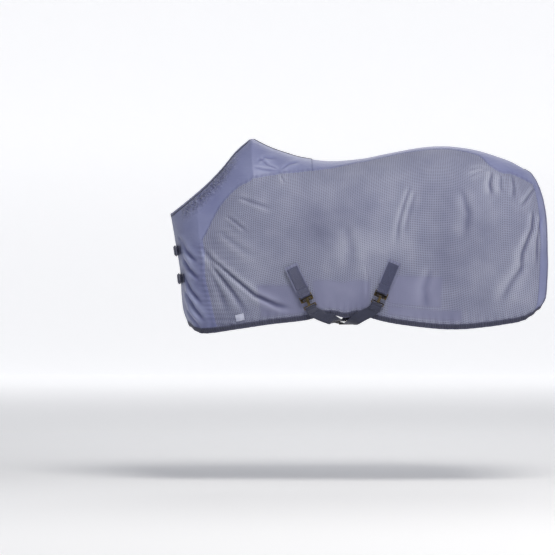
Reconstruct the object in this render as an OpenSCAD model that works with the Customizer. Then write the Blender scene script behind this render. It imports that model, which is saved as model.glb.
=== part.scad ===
// Horse fly sheet, closed at the chest and with its crossed surcingles fastened.
// +X runs towards the tail, the horse's left side is at -Y, +Z is up, and the
// origin is where the sheet rests on the middle of the back.

/* [Fabric] */
// Thickness of a fabric panel
cloth_t = 2; // [1.5:0.1:2.5]
// Width of the bound hem
hem_w = 24; // [18:1:32]
// Width of the neck binding
binding_w = 14; // [12:1:16]
// Thickness of the bound edges
binding_t = 4; // [3:0.1:5]

/* [Webbing] */
// Width of the surcingle webbing
web_w = 50; // [45:1:50]
// Thickness of one layer of webbing
web_t = 2.4; // [2:0.1:2.6]
// Length of each sewn surcingle tab
tab_len = 140; // [110:1:160]
// Width of the chest strap webbing
chest_web_w = 40; // [35:1:42]

/* [Hardware] */
// Radius of the bars that webbing loops round
bar_r = 2.5; // [2:0.1:2.8]
// Thickness of the stamped plates
plate_t = 3; // [2.5:0.1:3.2]
// Radius of the chest buckles' wire
wire_r = 2; // [1.8:0.1:2.2]
// Running clearance of a buckle prong on its bar
prong_clear = 0.08; // [0.05:0.01:0.1]

/* [Body shape] */
// Half the width over the barrel
barrel_w = 298; // [280:1:310]
// Half the width over the hips
hip_w = 264; // [250:1:275]

/* [Hidden] */
$fn = 32;
smooth = "steelblue";

// ---- outlines in the side view, as [x, z] ----
neck = [[-862, -255], [-790, -201], [-704, -128], [-629, -50], [-559, 36], [-492, 96]];
spine = [[-492, 96], [-410, 55], [-340, 30], [-265, 8], [-130, -10], [20, 1], [140, 25],
    [290, 52], [390, 59], [470, 54], [560, 38], [680, 0], [720, -17], [775, -48]];
hem = [[-775, -775], [-735, -802], [-690, -806], [-550, -786], [-405, -764], [-240, -744],
    [-165, -724], [-70, -720], [20, -724], [95, -746], [190, -764], [360, -784],
    [465, -786], [560, -778], [665, -764], [757, -743], [828, -690]];
// ---- guide columns, as [z, x] ----
chest = [[-775, -775], [-700, -803], [-620, -812], [-515, -818], [-395, -838], [-255, -862]];
seam = [[-803, -655], [-730, -675], [-629, -698], [-565, -714], [-447, -718], [-392, -727],
    [-165, -745]];
hips = [[-764, 660], [-400, 695], [-8, 700]];
dock = [[-690, 828], [-652, 853], [-611, 862], [-450, 868], [-254, 861], [-141, 837],
    [-70, 803], [-48, 775]];
// ---- stations along the sheet: 0 chest, 1 seam, 2 hips, 3 rear edge ----
withers = 1.175;
strip_from = 1.37;
strip_to = 2.985;
front_stations = [0.05, 0.15, 0.3, 0.45, 0.6, 0.8, 1];
back_stations = [1.03, 1.07, 1.12, 1.15, 1.168, 1.19, 1.24, 1.3, 1.37, 1.46, 1.56, 1.66, 1.76, 1.83,
    1.88, 1.915, 1.94, 1.97, 2, 2.15, 2.35, 2.55];
// Half width of the body at each station
side_w = [[1, 205], [1.12, 240], [1.3, 268], [1.5, barrel_w], [1.65, 296], [1.8, 280], [2, hip_w]];
// How peaked the ridge of the back is
ridge = [[1, 1], [1.175, 1.3], [1.4, 1.05], [1.6, 1], [2, 0.95]];
// Half width of the rear opening down its edge
rear_w = [[0, 0], [0.15, 60], [0.4, 128], [0.7, 160], [1, 172]];
// Where the smooth panels end, as [station, row]
seam_row = [[1, 0.46], [1.03, 0.35], [1.08, 0.285], [1.13, 0.33], [1.17, 0.375], [1.24, 0.305],
    [1.41, 0.172], [1.52, 0.112], [1.785, 0.098], [1.9, 0.13], [1.93, 0.2], [1.97, 0.235],
    [2, 0.22], [3, 0.28]];
widest = 0.45;    // how far down a column the body is widest
widest_row = 0.56;
tuck = 0.1;       // how far the hem draws in below that
turn = 67.5;      // degrees of curve round the chest and the rump
neck_w = 150;     // half width of the neck opening
lap_lift = cloth_t + 1;    // the left front lies over the right
under_t = cloth_t + 0.4;   // thickness of the right front's bound edges, under the left's
$lap = lap_lift;
band_from = 2.7;  // station where the rear band starts
mesh_split = 1.6; // station between the mesh over the barrel and over the quarters
seam_step = 0.001; // rows or stations left open at a seam
spine_row = 0.02; // half the gap that the withers piping fills
piping_gap = 0.006;
lining_gap = 3;    // clear space between the mesh and what is sewn inside it
lining_t = 1.5;
fold_len = 36;     // doubled webbing above a plate's bar
prong_gap = 7;     // room for a buckle prong
prong_w = 4;
corner_row = 0.46; // row of the corner where the shoulder seam turns down

// ---- curves ----
// Smooth curve through [position, value] points
function slope(p, k) = let(a = p[max(k - 1, 0)], b = p[min(k + 1, len(p) - 1)])
    (b[1] - a[1]) / (b[0] - a[0]);
function curve(p, u) = let(
        i = max([0, for (k = [1 : 1 : len(p) - 2]) if (u >= p[k][0]) k]),
        h = p[i + 1][0] - p[i][0],
        w = (u - p[i][0]) / h
    )
    (2 * pow(w, 3) - 3 * pow(w, 2) + 1) * p[i][1]
    + (pow(w, 3) - 2 * pow(w, 2) + w) * h * slope(p, i)
    + (3 * pow(w, 2) - 2 * pow(w, 3)) * p[i + 1][1]
    + (pow(w, 3) - pow(w, 2)) * h * slope(p, i + 1);
function mix(a, b, f) = a + (b - a) * f;
function smoothly(f) = let(g = min(1, max(0, f))) g * g * (3 - 2 * g);
function unit(v) = v / norm(v);

// ---- side view ----
// Share of a region's length gone by: round at the chest and the rump, even between them
function along(u) = u < 1 ? (1 - cos(turn * u)) / (1 - cos(turn))
    : u > 2 ? sin(turn * (u - 2)) / sin(turn) : u - 1;
function column(p, t) = let(a = p[len(p) - 1], b = p[0], z = mix(a[0], b[0], t)) [curve(p, z), z];
function corner(p, t) = t == 0 ? [p[len(p) - 1][1], p[len(p) - 1][0]] : [p[0][1], p[0][0]];
function top_z(x) = x < neck[5][0] ? curve(neck, x) : curve(spine, x);
// A patch between two guide columns and the outlines above and below
function between(a, b, f, t) = let(
        x_top = mix(corner(a, 0)[0], corner(b, 0)[0], f),
        x_hem = mix(corner(a, 1)[0], corner(b, 1)[0], f)
    )
    mix([x_top, top_z(x_top)], [x_hem, curve(hem, x_hem)], t)
    + mix(column(a, t), column(b, t), f)
    - mix(mix(corner(a, 0), corner(b, 0), f), mix(corner(a, 1), corner(b, 1), f), t);
function side_view(u, t) = u < 1 ? between(chest, seam, along(u), t)
    : u > 2 ? between(hips, dock, along(u), t)
    : between(seam, hips, along(u), t);

// ---- depth ----
function neck_half(u) = u >= withers ? 0
    : let(v = (withers - u) / (withers - 1)) neck_w * pow(v, 0.6) * (1 - 0.25 * v);
function lean_in(u, w) = asin(neck_half(u) / w);
function rows_to_angle(r, start) = r < widest_row ? start + (90 - start) * r / widest_row : 90;
function below_widest(r) = max(0, (r - widest_row) / (1 - widest_row));
// Depth and height share of row r, as [y, t]
function section(u, r) = let(
        w = curve(side_w, u), start = lean_in(u, w), q = rows_to_angle(r, start),
        f = below_widest(r)
    )
    [w * pow(sin(q), curve(ridge, u)) * (1 - tuck * f * f),
        r < widest_row ? widest * (cos(start) - cos(q)) / cos(start) : mix(widest, 1, f)];
// The point of the left side at station u and row r; r < 0 is on the right side
function skin_at(u, r) = let(
        k = abs(r), s = section(min(2, max(1, u)), k), p = side_view(abs(u), s[1]),
        y = u < 1 ? s[0] * sin(turn * u) / sin(turn)
            : u > 2 ? mix(s[0], curve(rear_w, k), (1 - cos(turn * (u - 2))) / (1 - cos(turn)))
            : s[0]
    )
    [p[0], r < 0 ? y : -y, p[1]];
nudge = 0.004;
function outward(u, r) = let(
        u0 = u < 2.5 ? u : u - nudge, r0 = r < 0.5 ? r : r - nudge,
        n = cross(skin_at(u0 + nudge, r0) - skin_at(u0, r0),
            skin_at(u0, r0 + nudge) - skin_at(u0, r0 - nudge))
    ) -unit(n);
function lift(u, r) = r > 0 ? $lap * (1 - smoothly(u / 0.2)) : 0;
function raised(u, r, off) = skin_at(u, r) + outward(u, r) * (off + lift(u, r));

// ---- builders ----
// Closed shell between two grids of points, over the cells that has(i, j) keeps
module shell(outer, inner, has = function(i, j) true) {
    n = len(outer);
    m = len(outer[0]);
    under = n * m;
    at = function(i, j) i * m + j;
    kept = function(i, j) i >= 0 && j >= 0 && i < n - 1 && j < m - 1 && has(i, j);
    cells = [for (i = [0 : n - 2], j = [0 : m - 2]) if (kept(i, j)) [i, j]];
    wall = function(a, b) [a, under + a, under + b, b];
    quads = concat(
        [for (c = cells) let(i = c[0], j = c[1]) [at(i, j), at(i + 1, j), at(i + 1, j + 1), at(i, j + 1)]],
        [for (c = cells) let(i = c[0], j = c[1])
            [under + at(i, j), under + at(i, j + 1), under + at(i + 1, j + 1), under + at(i + 1, j)]],
        [for (c = cells) let(i = c[0], j = c[1]) each concat(
            kept(i, j - 1) ? [] : [wall(at(i, j), at(i + 1, j))],
            kept(i, j + 1) ? [] : [wall(at(i + 1, j + 1), at(i, j + 1))],
            kept(i - 1, j) ? [] : [wall(at(i, j + 1), at(i, j))],
            kept(i + 1, j) ? [] : [wall(at(i + 1, j), at(i + 1, j + 1))]
        )]
    );
    points = concat([for (a = outer) for (p = a) p], [for (a = inner) for (p = a) p]);
    polyhedron(points, [for (q = quads) each [[q[0], q[1], q[2]], [q[0], q[2], q[3]]]]);
}
// A piece of the sheet over stations us, with row(u, j) for j up to rows, between two offsets
module cloth(us, row, rows, off_in, off_out, has = function(i, j) true) {
    grid = function(off) [for (u = us) [for (j = [0 : rows]) raised(u, row(u, j), off)]];
    shell(grid(off_out), grid(off_in), has);
}
function steps(a, b, n) = [for (k = [0 : n]) mix(a, b, k / n)];
function height(u) = side_view(abs(u), 0)[1] - side_view(abs(u), 1)[1];
// Rows that a length along a column takes, low down on the side
function rows_for(length, u) = length * (1 - widest_row) / ((1 - widest) * height(u));
function hem_row(u) = 1 - rows_for(hem_w, u);
function neck_row(u) = u < 1.13 ? rows_for(binding_w, u) * 0.7 : 0.02 + rows_for(binding_w, u);
// Rows of the shoulder panels and of the front bindings beside them
top_rows = 4;
low_rows = 6;
function shoulder_row(u, j) = let(
        top = u < withers ? neck_row(u) : spine_row, mid = u < 1 ? corner_row : curve(seam_row, u)
    )
    j <= top_rows ? mix(top, mid, j / top_rows) : mix(mid, hem_row(u), (j - top_rows) / low_rows);
// Flat webbing swept along [centre, width direction] stations
module ribbon(path, w, t) {
    last = len(path) - 1;
    way = function(k) unit(path[min(k + 1, last)][0] - path[max(k - 1, 0)][0]);
    side = function(k) let(d = way(k), v = path[k][1]) unit(v - d * (v * d));
    grid = function(s) [for (k = [0 : last]) let(v = side(k), n = cross(v, way(k)))
        [path[k][0] - v * w / 2 + n * s * t / 2, path[k][0] + v * w / 2 + n * s * t / 2]];
    shell(grid(1), grid(-1));
}
module right_side() { $lap = 0; mirror([0, 1, 0]) children(); }

// ---- panels ----
module shoulder_panel(first) {
    us = concat([first], [for (u = front_stations) if (u > first) u],
        [for (u = back_stations) if (u < strip_from) u], [strip_from - seam_step]);
    color(smooth) cloth(us, function(u, j) shoulder_row(u, j), top_rows + low_rows, 0, cloth_t,
        function(i, j) j < top_rows || us[i + 1] <= 1);
}
// The mesh between stations a and b
module mesh_part(a, b) {
    color("slategray") cloth(concat([a], [for (u = back_stations) if (u > a && u < b) u], [b]),
        function(u, j) mix(curve(seam_row, u) + seam_step, hem_row(u) - seam_step, j / 8), 8, 0, cloth_t);
}
module topline_panel() {
    us = concat([strip_from + seam_step], [for (u = back_stations) if (u > strip_from) u],
        [band_from, 2.85, strip_to]);
    rows = 8;
    color(smooth) cloth(us, function(u, j)
        (curve(seam_row, u) - seam_step) * (2 * j / rows - 1), rows, 0, cloth_t);
}
module withers_piping() {
    us = concat([for (u = back_stations) if (u > withers && u < strip_from) u], [strip_from - 0.01]);
    color("midnightblue") cloth(us, function(u, j) (spine_row - piping_gap) * (2 * j - 1), 1, 0, 4.5);
}
module rear_band() {
    color(smooth) cloth(concat([band_from], steps(2.78, 3, 3)),
        function(u, j) mix(curve(seam_row, u) + seam_step, hem_row(u) - seam_step, j / 8), 8, 0, cloth_t + 0.5);
}

module shoulder_panel_left() { shoulder_panel(-0.04); }
module shoulder_panel_right() { right_side() shoulder_panel(0.09); }
module mesh_panel() { mesh_part(1 + seam_step, mesh_split - seam_step); }
module mesh_quarter() { mesh_part(mesh_split + seam_step, band_from - 3 * seam_step); }
module mesh_panel_left() { mesh_panel(); }
module mesh_panel_right() { right_side() mesh_panel(); }
module mesh_quarter_left() { mesh_quarter(); }
module mesh_quarter_right() { right_side() mesh_quarter(); }
module rear_band_left() { rear_band(); }
module rear_band_right() { right_side() rear_band(); }
module neck_binding() {
    us = concat(front_stations, [for (u = back_stations) if (u < withers) u]);
    n = len(us);
    half = concat([for (u = us) [[u, 0], [u, neck_row(u) - seam_step]]], [[[withers, 0], [withers + 0.01, 0]]]);
    point = function(q, off, s) let($lap = s > 0 ? lap_lift : 0, p = raised(q[0], q[1], off))
        [p[0], q[0] >= withers ? 0 : s * p[1], p[2]];
    rail = function(off) concat(
        [for (k = [0 : n]) [for (q = half[k]) point(q, off, 1)]],
        [for (k = [n - 1 : -1 : 0]) [for (q = half[k]) point(q, off, -1)]]);
    color("lightsteelblue") shell(rail(binding_t), rail(-1));
}
module front_binding(from, to, t) {
    color("lightsteelblue") cloth([from, to], function(u, j) shoulder_row(u, j), top_rows + low_rows, 0, t);
}
module hem_binding(first, t) {
    color("midnightblue") cloth(
        concat([first], first < 0 ? [-0.03] : [], [for (u = front_stations) if (u > first) u], back_stations,
            [band_from, 2.85, 3]),
        function(u, j) mix(hem_row(u) + seam_step, 1, j), 1, -0.5, t);
}
// Layers sewn inside the mesh, from station a to station b and row c to row d
module lining(a, b, c, d) {
    color("lightslategray") cloth(steps(a, b, 3), function(u, j) mix(c, d, j / 2), 2,
        -lining_gap - lining_t, -lining_gap);
}
module hem_facing() { lining(1.6, 1.85, 0.918, 0.962); }
module front_patch() { lining(1.165, 1.33, 0.83, 0.966); }
module middle_patch() { lining(1.35, 1.54, 0.82, 0.966); }
module rear_patch() { lining(1.6, 1.78, 0.775, 0.91); }
module care_label() {
    color("white") cloth([1.078, 1.107], function(u, j) mix(0.93, 0.962, j), 1, cloth_t + 1.5, cloth_t + 2.5);
}

// ---- surcingle fittings: X along the webbing's width, Z up it, -Y away from the horse ----
front_at = [-246, -269.5, -633];
front_turn = [1.5, -25.5, 4];  // tilt, lean and yaw
rear_at = [104, -295.5, -617];
rear_turn = [3, 22.5, 0];
slot_z = -18;    // the T-hook's slot, below the plate's bar
lower_z = -58;   // the T-hook's own bar, below the plate's bar
module placed(at, turns) {
    translate(at) rotate([0, 0, turns[2]]) rotate([turns[0], 0, 0]) rotate([0, turns[1], 0]) children();
}
module bar_x(z, length, r) { translate([-length / 2, 0, z]) rotate([0, 90, 0]) cylinder(r = r, h = length); }
module block(w, y0, y1, z0, z1) { translate([-w / 2, y0, z0]) cube([w, y1 - y0, z1 - z0]); }
// Webbing folded round a bar
module web_loop(z, inner) {
    difference() {
        bar_x(z, web_w, inner + web_t);
        bar_x(z, web_w + 2, inner);
    }
}
module surcingle_tab() {
    loop = bar_r + 0.5;
    color("darkslateblue") {
        web_loop(0, loop);
        block(web_w, -web_t, web_t, loop + 0.8, fold_len);
        block(web_w, 0, web_t, fold_len - 1, tab_len);
    }
}
module tab_backing() { color("lightsteelblue") block(web_w + 6, web_t + 0.8, web_t + 1.8, 30, tab_len + 3); }
module slotted_plate() {
    bar_len = web_w + 3;
    color("darkgoldenrod") {
        bar_x(0, bar_len, bar_r);
        for (s = [-1, 1]) translate([s * (bar_len / 2 + 2) - 2, -plate_t / 2, -10]) cube([4, plate_t, 13]);
        difference() {
            block(web_w + 11, -plate_t / 2, plate_t / 2, -27, -8);
            block(36, -plate_t, plate_t, slot_z - 4, slot_z + 4);
        }
    }
}
module t_hook() {
    bar_len = web_w + 3;
    color("darkgoldenrod") {
        block(30, 3.4, 6, slot_z - 1.8, slot_z + 1.8);
        block(12, -8, 3.6, slot_z - 1.75, slot_z + 1.75);
        block(12, -8, -5.2, -46, slot_z + 1.75);
        block(12, -8, 1.4, -49, -45.6);
        block(web_w + 11, -1.4, 1.4, -50, -45.4);
        for (s = [-1, 1]) translate([s * (bar_len / 2 + 2) - 2, -1.4, lower_z - 3]) cube([4, 2.8, 12]);
        bar_x(lower_z, bar_len, bar_r);
    }
}
module strap_loop() {
    loop = bar_r + 1;
    web_loop(lower_z, loop);
    block(web_w, -web_t, web_t, lower_z - 34, lower_z - loop - 0.8);
}
module strap_slider() {
    color("darkgoldenrod") difference() {
        block(web_w + 10, -4, 4, -8, 8);
        block(web_w + 1.5, -2.4, 2.4, -9, 9);
    }
}
// A local point of a fitting, or a direction when at is [0, 0, 0], in the part's own frame
function turned_x(p, a) = [p[0], p[1] * cos(a) - p[2] * sin(a), p[1] * sin(a) + p[2] * cos(a)];
function turned_y(p, a) = [p[0] * cos(a) + p[2] * sin(a), p[1], p[2] * cos(a) - p[0] * sin(a)];
function turned_z(p, a) = [p[0] * cos(a) - p[1] * sin(a), p[0] * sin(a) + p[1] * cos(a), p[2]];
function world(at, turns, p) = at + turned_z(turned_x(turned_y(p, turns[1]), turns[0]), turns[2]);

// ---- belly straps: each runs from its hook, round the hem, under the belly to the other side ----
// Points on the way from the hook to the belly, each with the direction of the webbing's width
front_route = [[[-190, -264.5, -716], [0.6, 0, 0.8]], [[-160, -263.5, -729], [0.45, 0, 0.9]],
    [[-128, -264, -740], [0.5, -0.1, 0.85]], [[-106, -240, -747], [0.75, -0.4, 0.35]],
    [[-92, -170, -748], [0.99, -0.12, 0]]];
rear_route = [[[54, -286, -704], [0.6, 0, -0.8]], [[24, -281.5, -720], [0.45, 0, -0.9]],
    [[-8, -278, -738], [0.5, 0.1, -0.85]], [[-34, -252, -757], [0.75, 0.4, -0.35]],
    [[-52, -180, -763], [0.99, 0.1, 0]]];
front_cross = [-71, 0, -749];
rear_cross = [-71, 0, -762];
strap_gap = 13;    // the front strap lies this far above the rear one where they cross
gap_share = [0, 0, 0.4, 1, 1];
slider_at = 0.36;  // share of the way from the route's end to the crossing
function far(p) = [p[0], -p[1], p[2]];
function flat_side(a, b) = let(d = b - a) unit([d[1], -d[0], 0]);
function strap_path(at, turns, route, cross, far_at, far_turns, far_route, raise) = let(
        v = world([0, 0, 0], turns, [1, 0, 0]), o = far(world([0, 0, 0], far_turns, [1, 0, 0]))
    )
    concat(
        [[world(at, turns, [0, 0, lower_z - 24]), v]], route,
        [[cross, flat_side(route[4][0], far(far_route[4][0]))]],
        [for (k = [4 : -1 : 0]) [far(far_route[k][0]) + [0, 0, raise * gap_share[k]], far(far_route[k][1])]],
        [for (z = [lower_z - 24, lower_z, tab_len]) [far(world(far_at, far_turns, [0, 0, z])), o]]
    );
function front_path() = strap_path(front_at, front_turn, front_route, front_cross,
    rear_at, rear_turn, rear_route, strap_gap);
function rear_path() = strap_path(rear_at, rear_turn, rear_route, rear_cross,
    front_at, front_turn, front_route, -strap_gap);
module belly_strap(at, turns, path) {
    color("midnightblue") {
        placed(at, turns) strap_loop();
        ribbon(path, web_w - 0.4, 3);
    }
}
module slider_on(path) {
    way = unit(path[6][0] - path[5][0]);
    translate(mix(path[5][0], path[6][0], slider_at)) rotate([0, 0, atan2(way[1], way[0])])
        rotate([0, -asin(way[2]), 0]) rotate([0, 0, 90]) rotate([90, 0, 0]) strap_slider();
}

// ---- chest fastenings: -X forward, each centred on the chest's middle line ----
chest_r = 240;     // how round the chest is
strap_r = 248;     // inner face of the chest webbing
over_r = 260;      // inner face where the strap lies over the buckle
bar_at = [-13, -26];
bar_far = [-13, 22];
frame_half = chest_web_w / 2 + wire_r + 2;
upper_at = [-832, 0, -424];
upper_tilt = -9;
lower_at = [-815.5, 0, -554];
lower_tilt = -6.5;
module on_chest(at, tilt) { translate(at) rotate([0, tilt, 0]) children(); }
// A ring piece from angle a to angle b, positive towards the left side
module chest_arc(a, b, r, t, h) {
    translate([chest_r, 0, 0]) rotate([0, 0, 180 + a]) rotate_extrude(angle = b - a, $fn = 96)
        translate([r, -h / 2]) square([t, h]);
}
function on_arc(a, r) = [chest_r - r * cos(a), -r * sin(a)];
module upright(p, r, h) { translate([p[0], p[1], -h / 2]) cylinder(r = r, h = h); }
// Outline of webbing seen from above, over [angle, inner radius] stations
module web_outline(stations) {
    polygon(concat(
        [for (q = stations) on_arc(q[0], q[1])],
        [for (k = [len(stations) - 1 : -1 : 0]) on_arc(stations[k][0], stations[k][1] + web_t)]));
}
module chest_tab() {
    loop = wire_r + 0.5;
    color("midnightblue") difference() {
        union() {
            upright(bar_at, loop + web_t, chest_web_w);
            linear_extrude(height = chest_web_w, center = true)
                web_outline([for (a = [5 : 1 : 24]) [a, strap_r]]);
        }
        upright(bar_at, loop, chest_web_w + 2);
        translate([bar_at[0] - 12, bar_at[1] - 6, -prong_gap / 2]) cube([24, 14, prong_gap]);
    }
}
module chest_buckle() {
    color("darkgoldenrod") {
        for (p = [bar_at, bar_far]) {
            upright(p, wire_r, 2 * frame_half);
            for (s = [-1, 1]) translate([p[0], p[1], s * frame_half]) sphere(r = wire_r);
        }
        for (s = [-1, 1]) translate([bar_at[0], bar_at[1], s * frame_half]) rotate([-90, 0, 0])
            cylinder(r = wire_r, h = bar_far[1] - bar_at[1]);
    }
}
module chest_prong() {
    eye = wire_r + prong_clear;
    color("gold") difference() {
        union() {
            upright(bar_at, eye + 2, prong_w + 1);
            linear_extrude(height = prong_w, center = true) polygon([
                [bar_at[0] - 3.9, bar_at[1]], [bar_far[0] - 5.6, bar_far[1] + 3],
                [bar_far[0] - 2.5, bar_far[1] + 4], [bar_far[0] - 2.5, bar_far[1] - 2],
                [bar_at[0] - 2.4, bar_at[1] + 3]]);
        }
        upright(bar_at, eye, 3 * prong_w);
    }
}
module chest_strap() {
    color("midnightblue") difference() {
        linear_extrude(height = chest_web_w - 1, center = true) web_outline(concat(
            [for (a = [-24 : 1 : -4]) [a, strap_r]],
            [for (a = [3 : 1 : 21]) [a, over_r]]));
        translate([-30, -21, -prong_gap / 2]) cube([30, 32, prong_gap]);
    }
}
module chest_keeper() {
    low_r = strap_r - 2.4;
    high_r = over_r + web_t + 2.4;
    color("slateblue") difference() {
        chest_arc(12, 15, low_r, high_r - low_r, chest_web_w + 5);
        chest_arc(11, 16, low_r + 1.8, high_r - low_r - 3.6, chest_web_w + 1.4);
    }
}

module front_binding_left() { front_binding(-0.11, -0.05, binding_t - 0.5); }
module front_binding_right() { right_side() front_binding(0.02, 0.08, under_t); }
module hem_binding_left() { hem_binding(-0.11, binding_t - 1); }
module hem_binding_right() { right_side() hem_binding(0.02, under_t); }
module hem_facing_left() { hem_facing(); }
module hem_facing_right() { right_side() hem_facing(); }
module front_patch_left() { front_patch(); }
module front_patch_right() { right_side() front_patch(); }
module middle_patch_left() { middle_patch(); }
module middle_patch_right() { right_side() middle_patch(); }
module rear_patch_left() { rear_patch(); }
module rear_patch_right() { right_side() rear_patch(); }
module front_tab_backing() { placed(front_at, front_turn) tab_backing(); }
module front_surcingle_tab() { placed(front_at, front_turn) surcingle_tab(); }
module front_slotted_plate() { placed(front_at, front_turn) slotted_plate(); }
module front_t_hook() { placed(front_at, front_turn) t_hook(); }
module front_belly_strap() { belly_strap(front_at, front_turn, front_path()); }
module front_strap_slider() { slider_on(front_path()); }
module rear_tab_backing() { placed(rear_at, rear_turn) tab_backing(); }
module rear_surcingle_tab() { placed(rear_at, rear_turn) surcingle_tab(); }
module rear_slotted_plate() { placed(rear_at, rear_turn) slotted_plate(); }
module rear_t_hook() { placed(rear_at, rear_turn) t_hook(); }
module rear_belly_strap() { belly_strap(rear_at, rear_turn, rear_path()); }
module rear_strap_slider() { slider_on(rear_path()); }
module upper_chest_tab() { on_chest(upper_at, upper_tilt) chest_tab(); }
module upper_chest_buckle() { on_chest(upper_at, upper_tilt) chest_buckle(); }
module upper_chest_prong() { on_chest(upper_at, upper_tilt) chest_prong(); }
module upper_chest_strap() { on_chest(upper_at, upper_tilt) chest_strap(); }
module upper_chest_keeper() { on_chest(upper_at, upper_tilt) chest_keeper(); }
module lower_chest_tab() { on_chest(lower_at, lower_tilt) chest_tab(); }
module lower_chest_buckle() { on_chest(lower_at, lower_tilt) chest_buckle(); }
module lower_chest_prong() { on_chest(lower_at, lower_tilt) chest_prong(); }
module lower_chest_strap() { on_chest(lower_at, lower_tilt) chest_strap(); }
module lower_chest_keeper() { on_chest(lower_at, lower_tilt) chest_keeper(); }

shoulder_panel_left();
shoulder_panel_right();
mesh_panel_left();
mesh_panel_right();
mesh_quarter_left();
mesh_quarter_right();
topline_panel();
withers_piping();
rear_band_left();
rear_band_right();
neck_binding();
front_binding_left();
front_binding_right();
hem_binding_left();
hem_binding_right();
hem_facing_left();
hem_facing_right();
front_patch_left();
front_patch_right();
middle_patch_left();
middle_patch_right();
rear_patch_left();
rear_patch_right();
care_label();
front_tab_backing();
front_surcingle_tab();
front_slotted_plate();
front_t_hook();
front_belly_strap();
front_strap_slider();
rear_tab_backing();
rear_surcingle_tab();
rear_slotted_plate();
rear_t_hook();
rear_belly_strap();
rear_strap_slider();
upper_chest_tab();
upper_chest_buckle();
upper_chest_prong();
upper_chest_strap();
upper_chest_keeper();
lower_chest_tab();
lower_chest_buckle();
lower_chest_prong();
lower_chest_strap();
lower_chest_keeper();
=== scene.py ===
from math import atan2, cos, degrees, pi, radians, sin

import bmesh
import bpy
import numpy as np
from mathutils import Matrix, Vector, noise


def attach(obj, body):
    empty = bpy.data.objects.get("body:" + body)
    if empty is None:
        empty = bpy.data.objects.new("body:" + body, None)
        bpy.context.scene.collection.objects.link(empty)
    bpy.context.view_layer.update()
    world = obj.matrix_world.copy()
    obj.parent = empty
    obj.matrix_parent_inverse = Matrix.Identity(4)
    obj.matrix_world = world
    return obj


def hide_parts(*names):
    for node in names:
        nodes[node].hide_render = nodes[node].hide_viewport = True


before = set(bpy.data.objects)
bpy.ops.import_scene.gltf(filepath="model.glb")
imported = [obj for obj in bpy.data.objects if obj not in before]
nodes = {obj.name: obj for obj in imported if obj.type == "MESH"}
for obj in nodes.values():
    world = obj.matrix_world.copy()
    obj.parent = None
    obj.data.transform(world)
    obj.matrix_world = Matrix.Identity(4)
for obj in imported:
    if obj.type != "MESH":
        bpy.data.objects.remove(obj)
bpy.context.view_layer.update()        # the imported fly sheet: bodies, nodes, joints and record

mm = 0.001


def linear(hexColour):
    # sRGB hex to the linear colour that a shader wants
    parts = [int(hexColour[i:i + 2], 16) / 255 for i in (1, 3, 5)]
    return tuple([c / 12.92 if c <= 0.04045 else ((c + 0.055) / 1.055) ** 2.4 for c in parts] + [1.0])


def clearSelection():
    for obj in list(bpy.context.selected_objects):
        obj.select_set(False)


def makeActive(obj):
    clearSelection()
    obj.select_set(True)
    bpy.context.view_layer.objects.active = obj


def applyModifiers(obj):
    makeActive(obj)
    for mod in list(obj.modifiers):
        bpy.ops.object.modifier_apply(modifier=mod.name)


def mix(a, b, f):
    return a + (b - a) * f


def smoothly(f):
    g = np.clip(f, 0, 1)
    return g * g * (3 - 2 * g)


def curveAt(points, u):
    # smooth curve through (position, value) points, the same rule as the sheet's own outlines
    knots, values = np.array(points, float).T
    k = np.arange(len(knots))
    before, after = np.maximum(k - 1, 0), np.minimum(k + 1, len(knots) - 1)
    slopes = (values[after] - values[before]) / (knots[after] - knots[before])
    i = np.clip(np.searchsorted(knots, u, side="right") - 1, 0, len(knots) - 2)
    h = knots[i + 1] - knots[i]
    w = (u - knots[i]) / h
    return ((2 * w ** 3 - 3 * w ** 2 + 1) * values[i] + (w ** 3 - 2 * w ** 2 + w) * h * slopes[i]
            + (3 * w ** 2 - 2 * w ** 3) * values[i + 1] + (w ** 3 - w ** 2) * h * slopes[i + 1])


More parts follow.
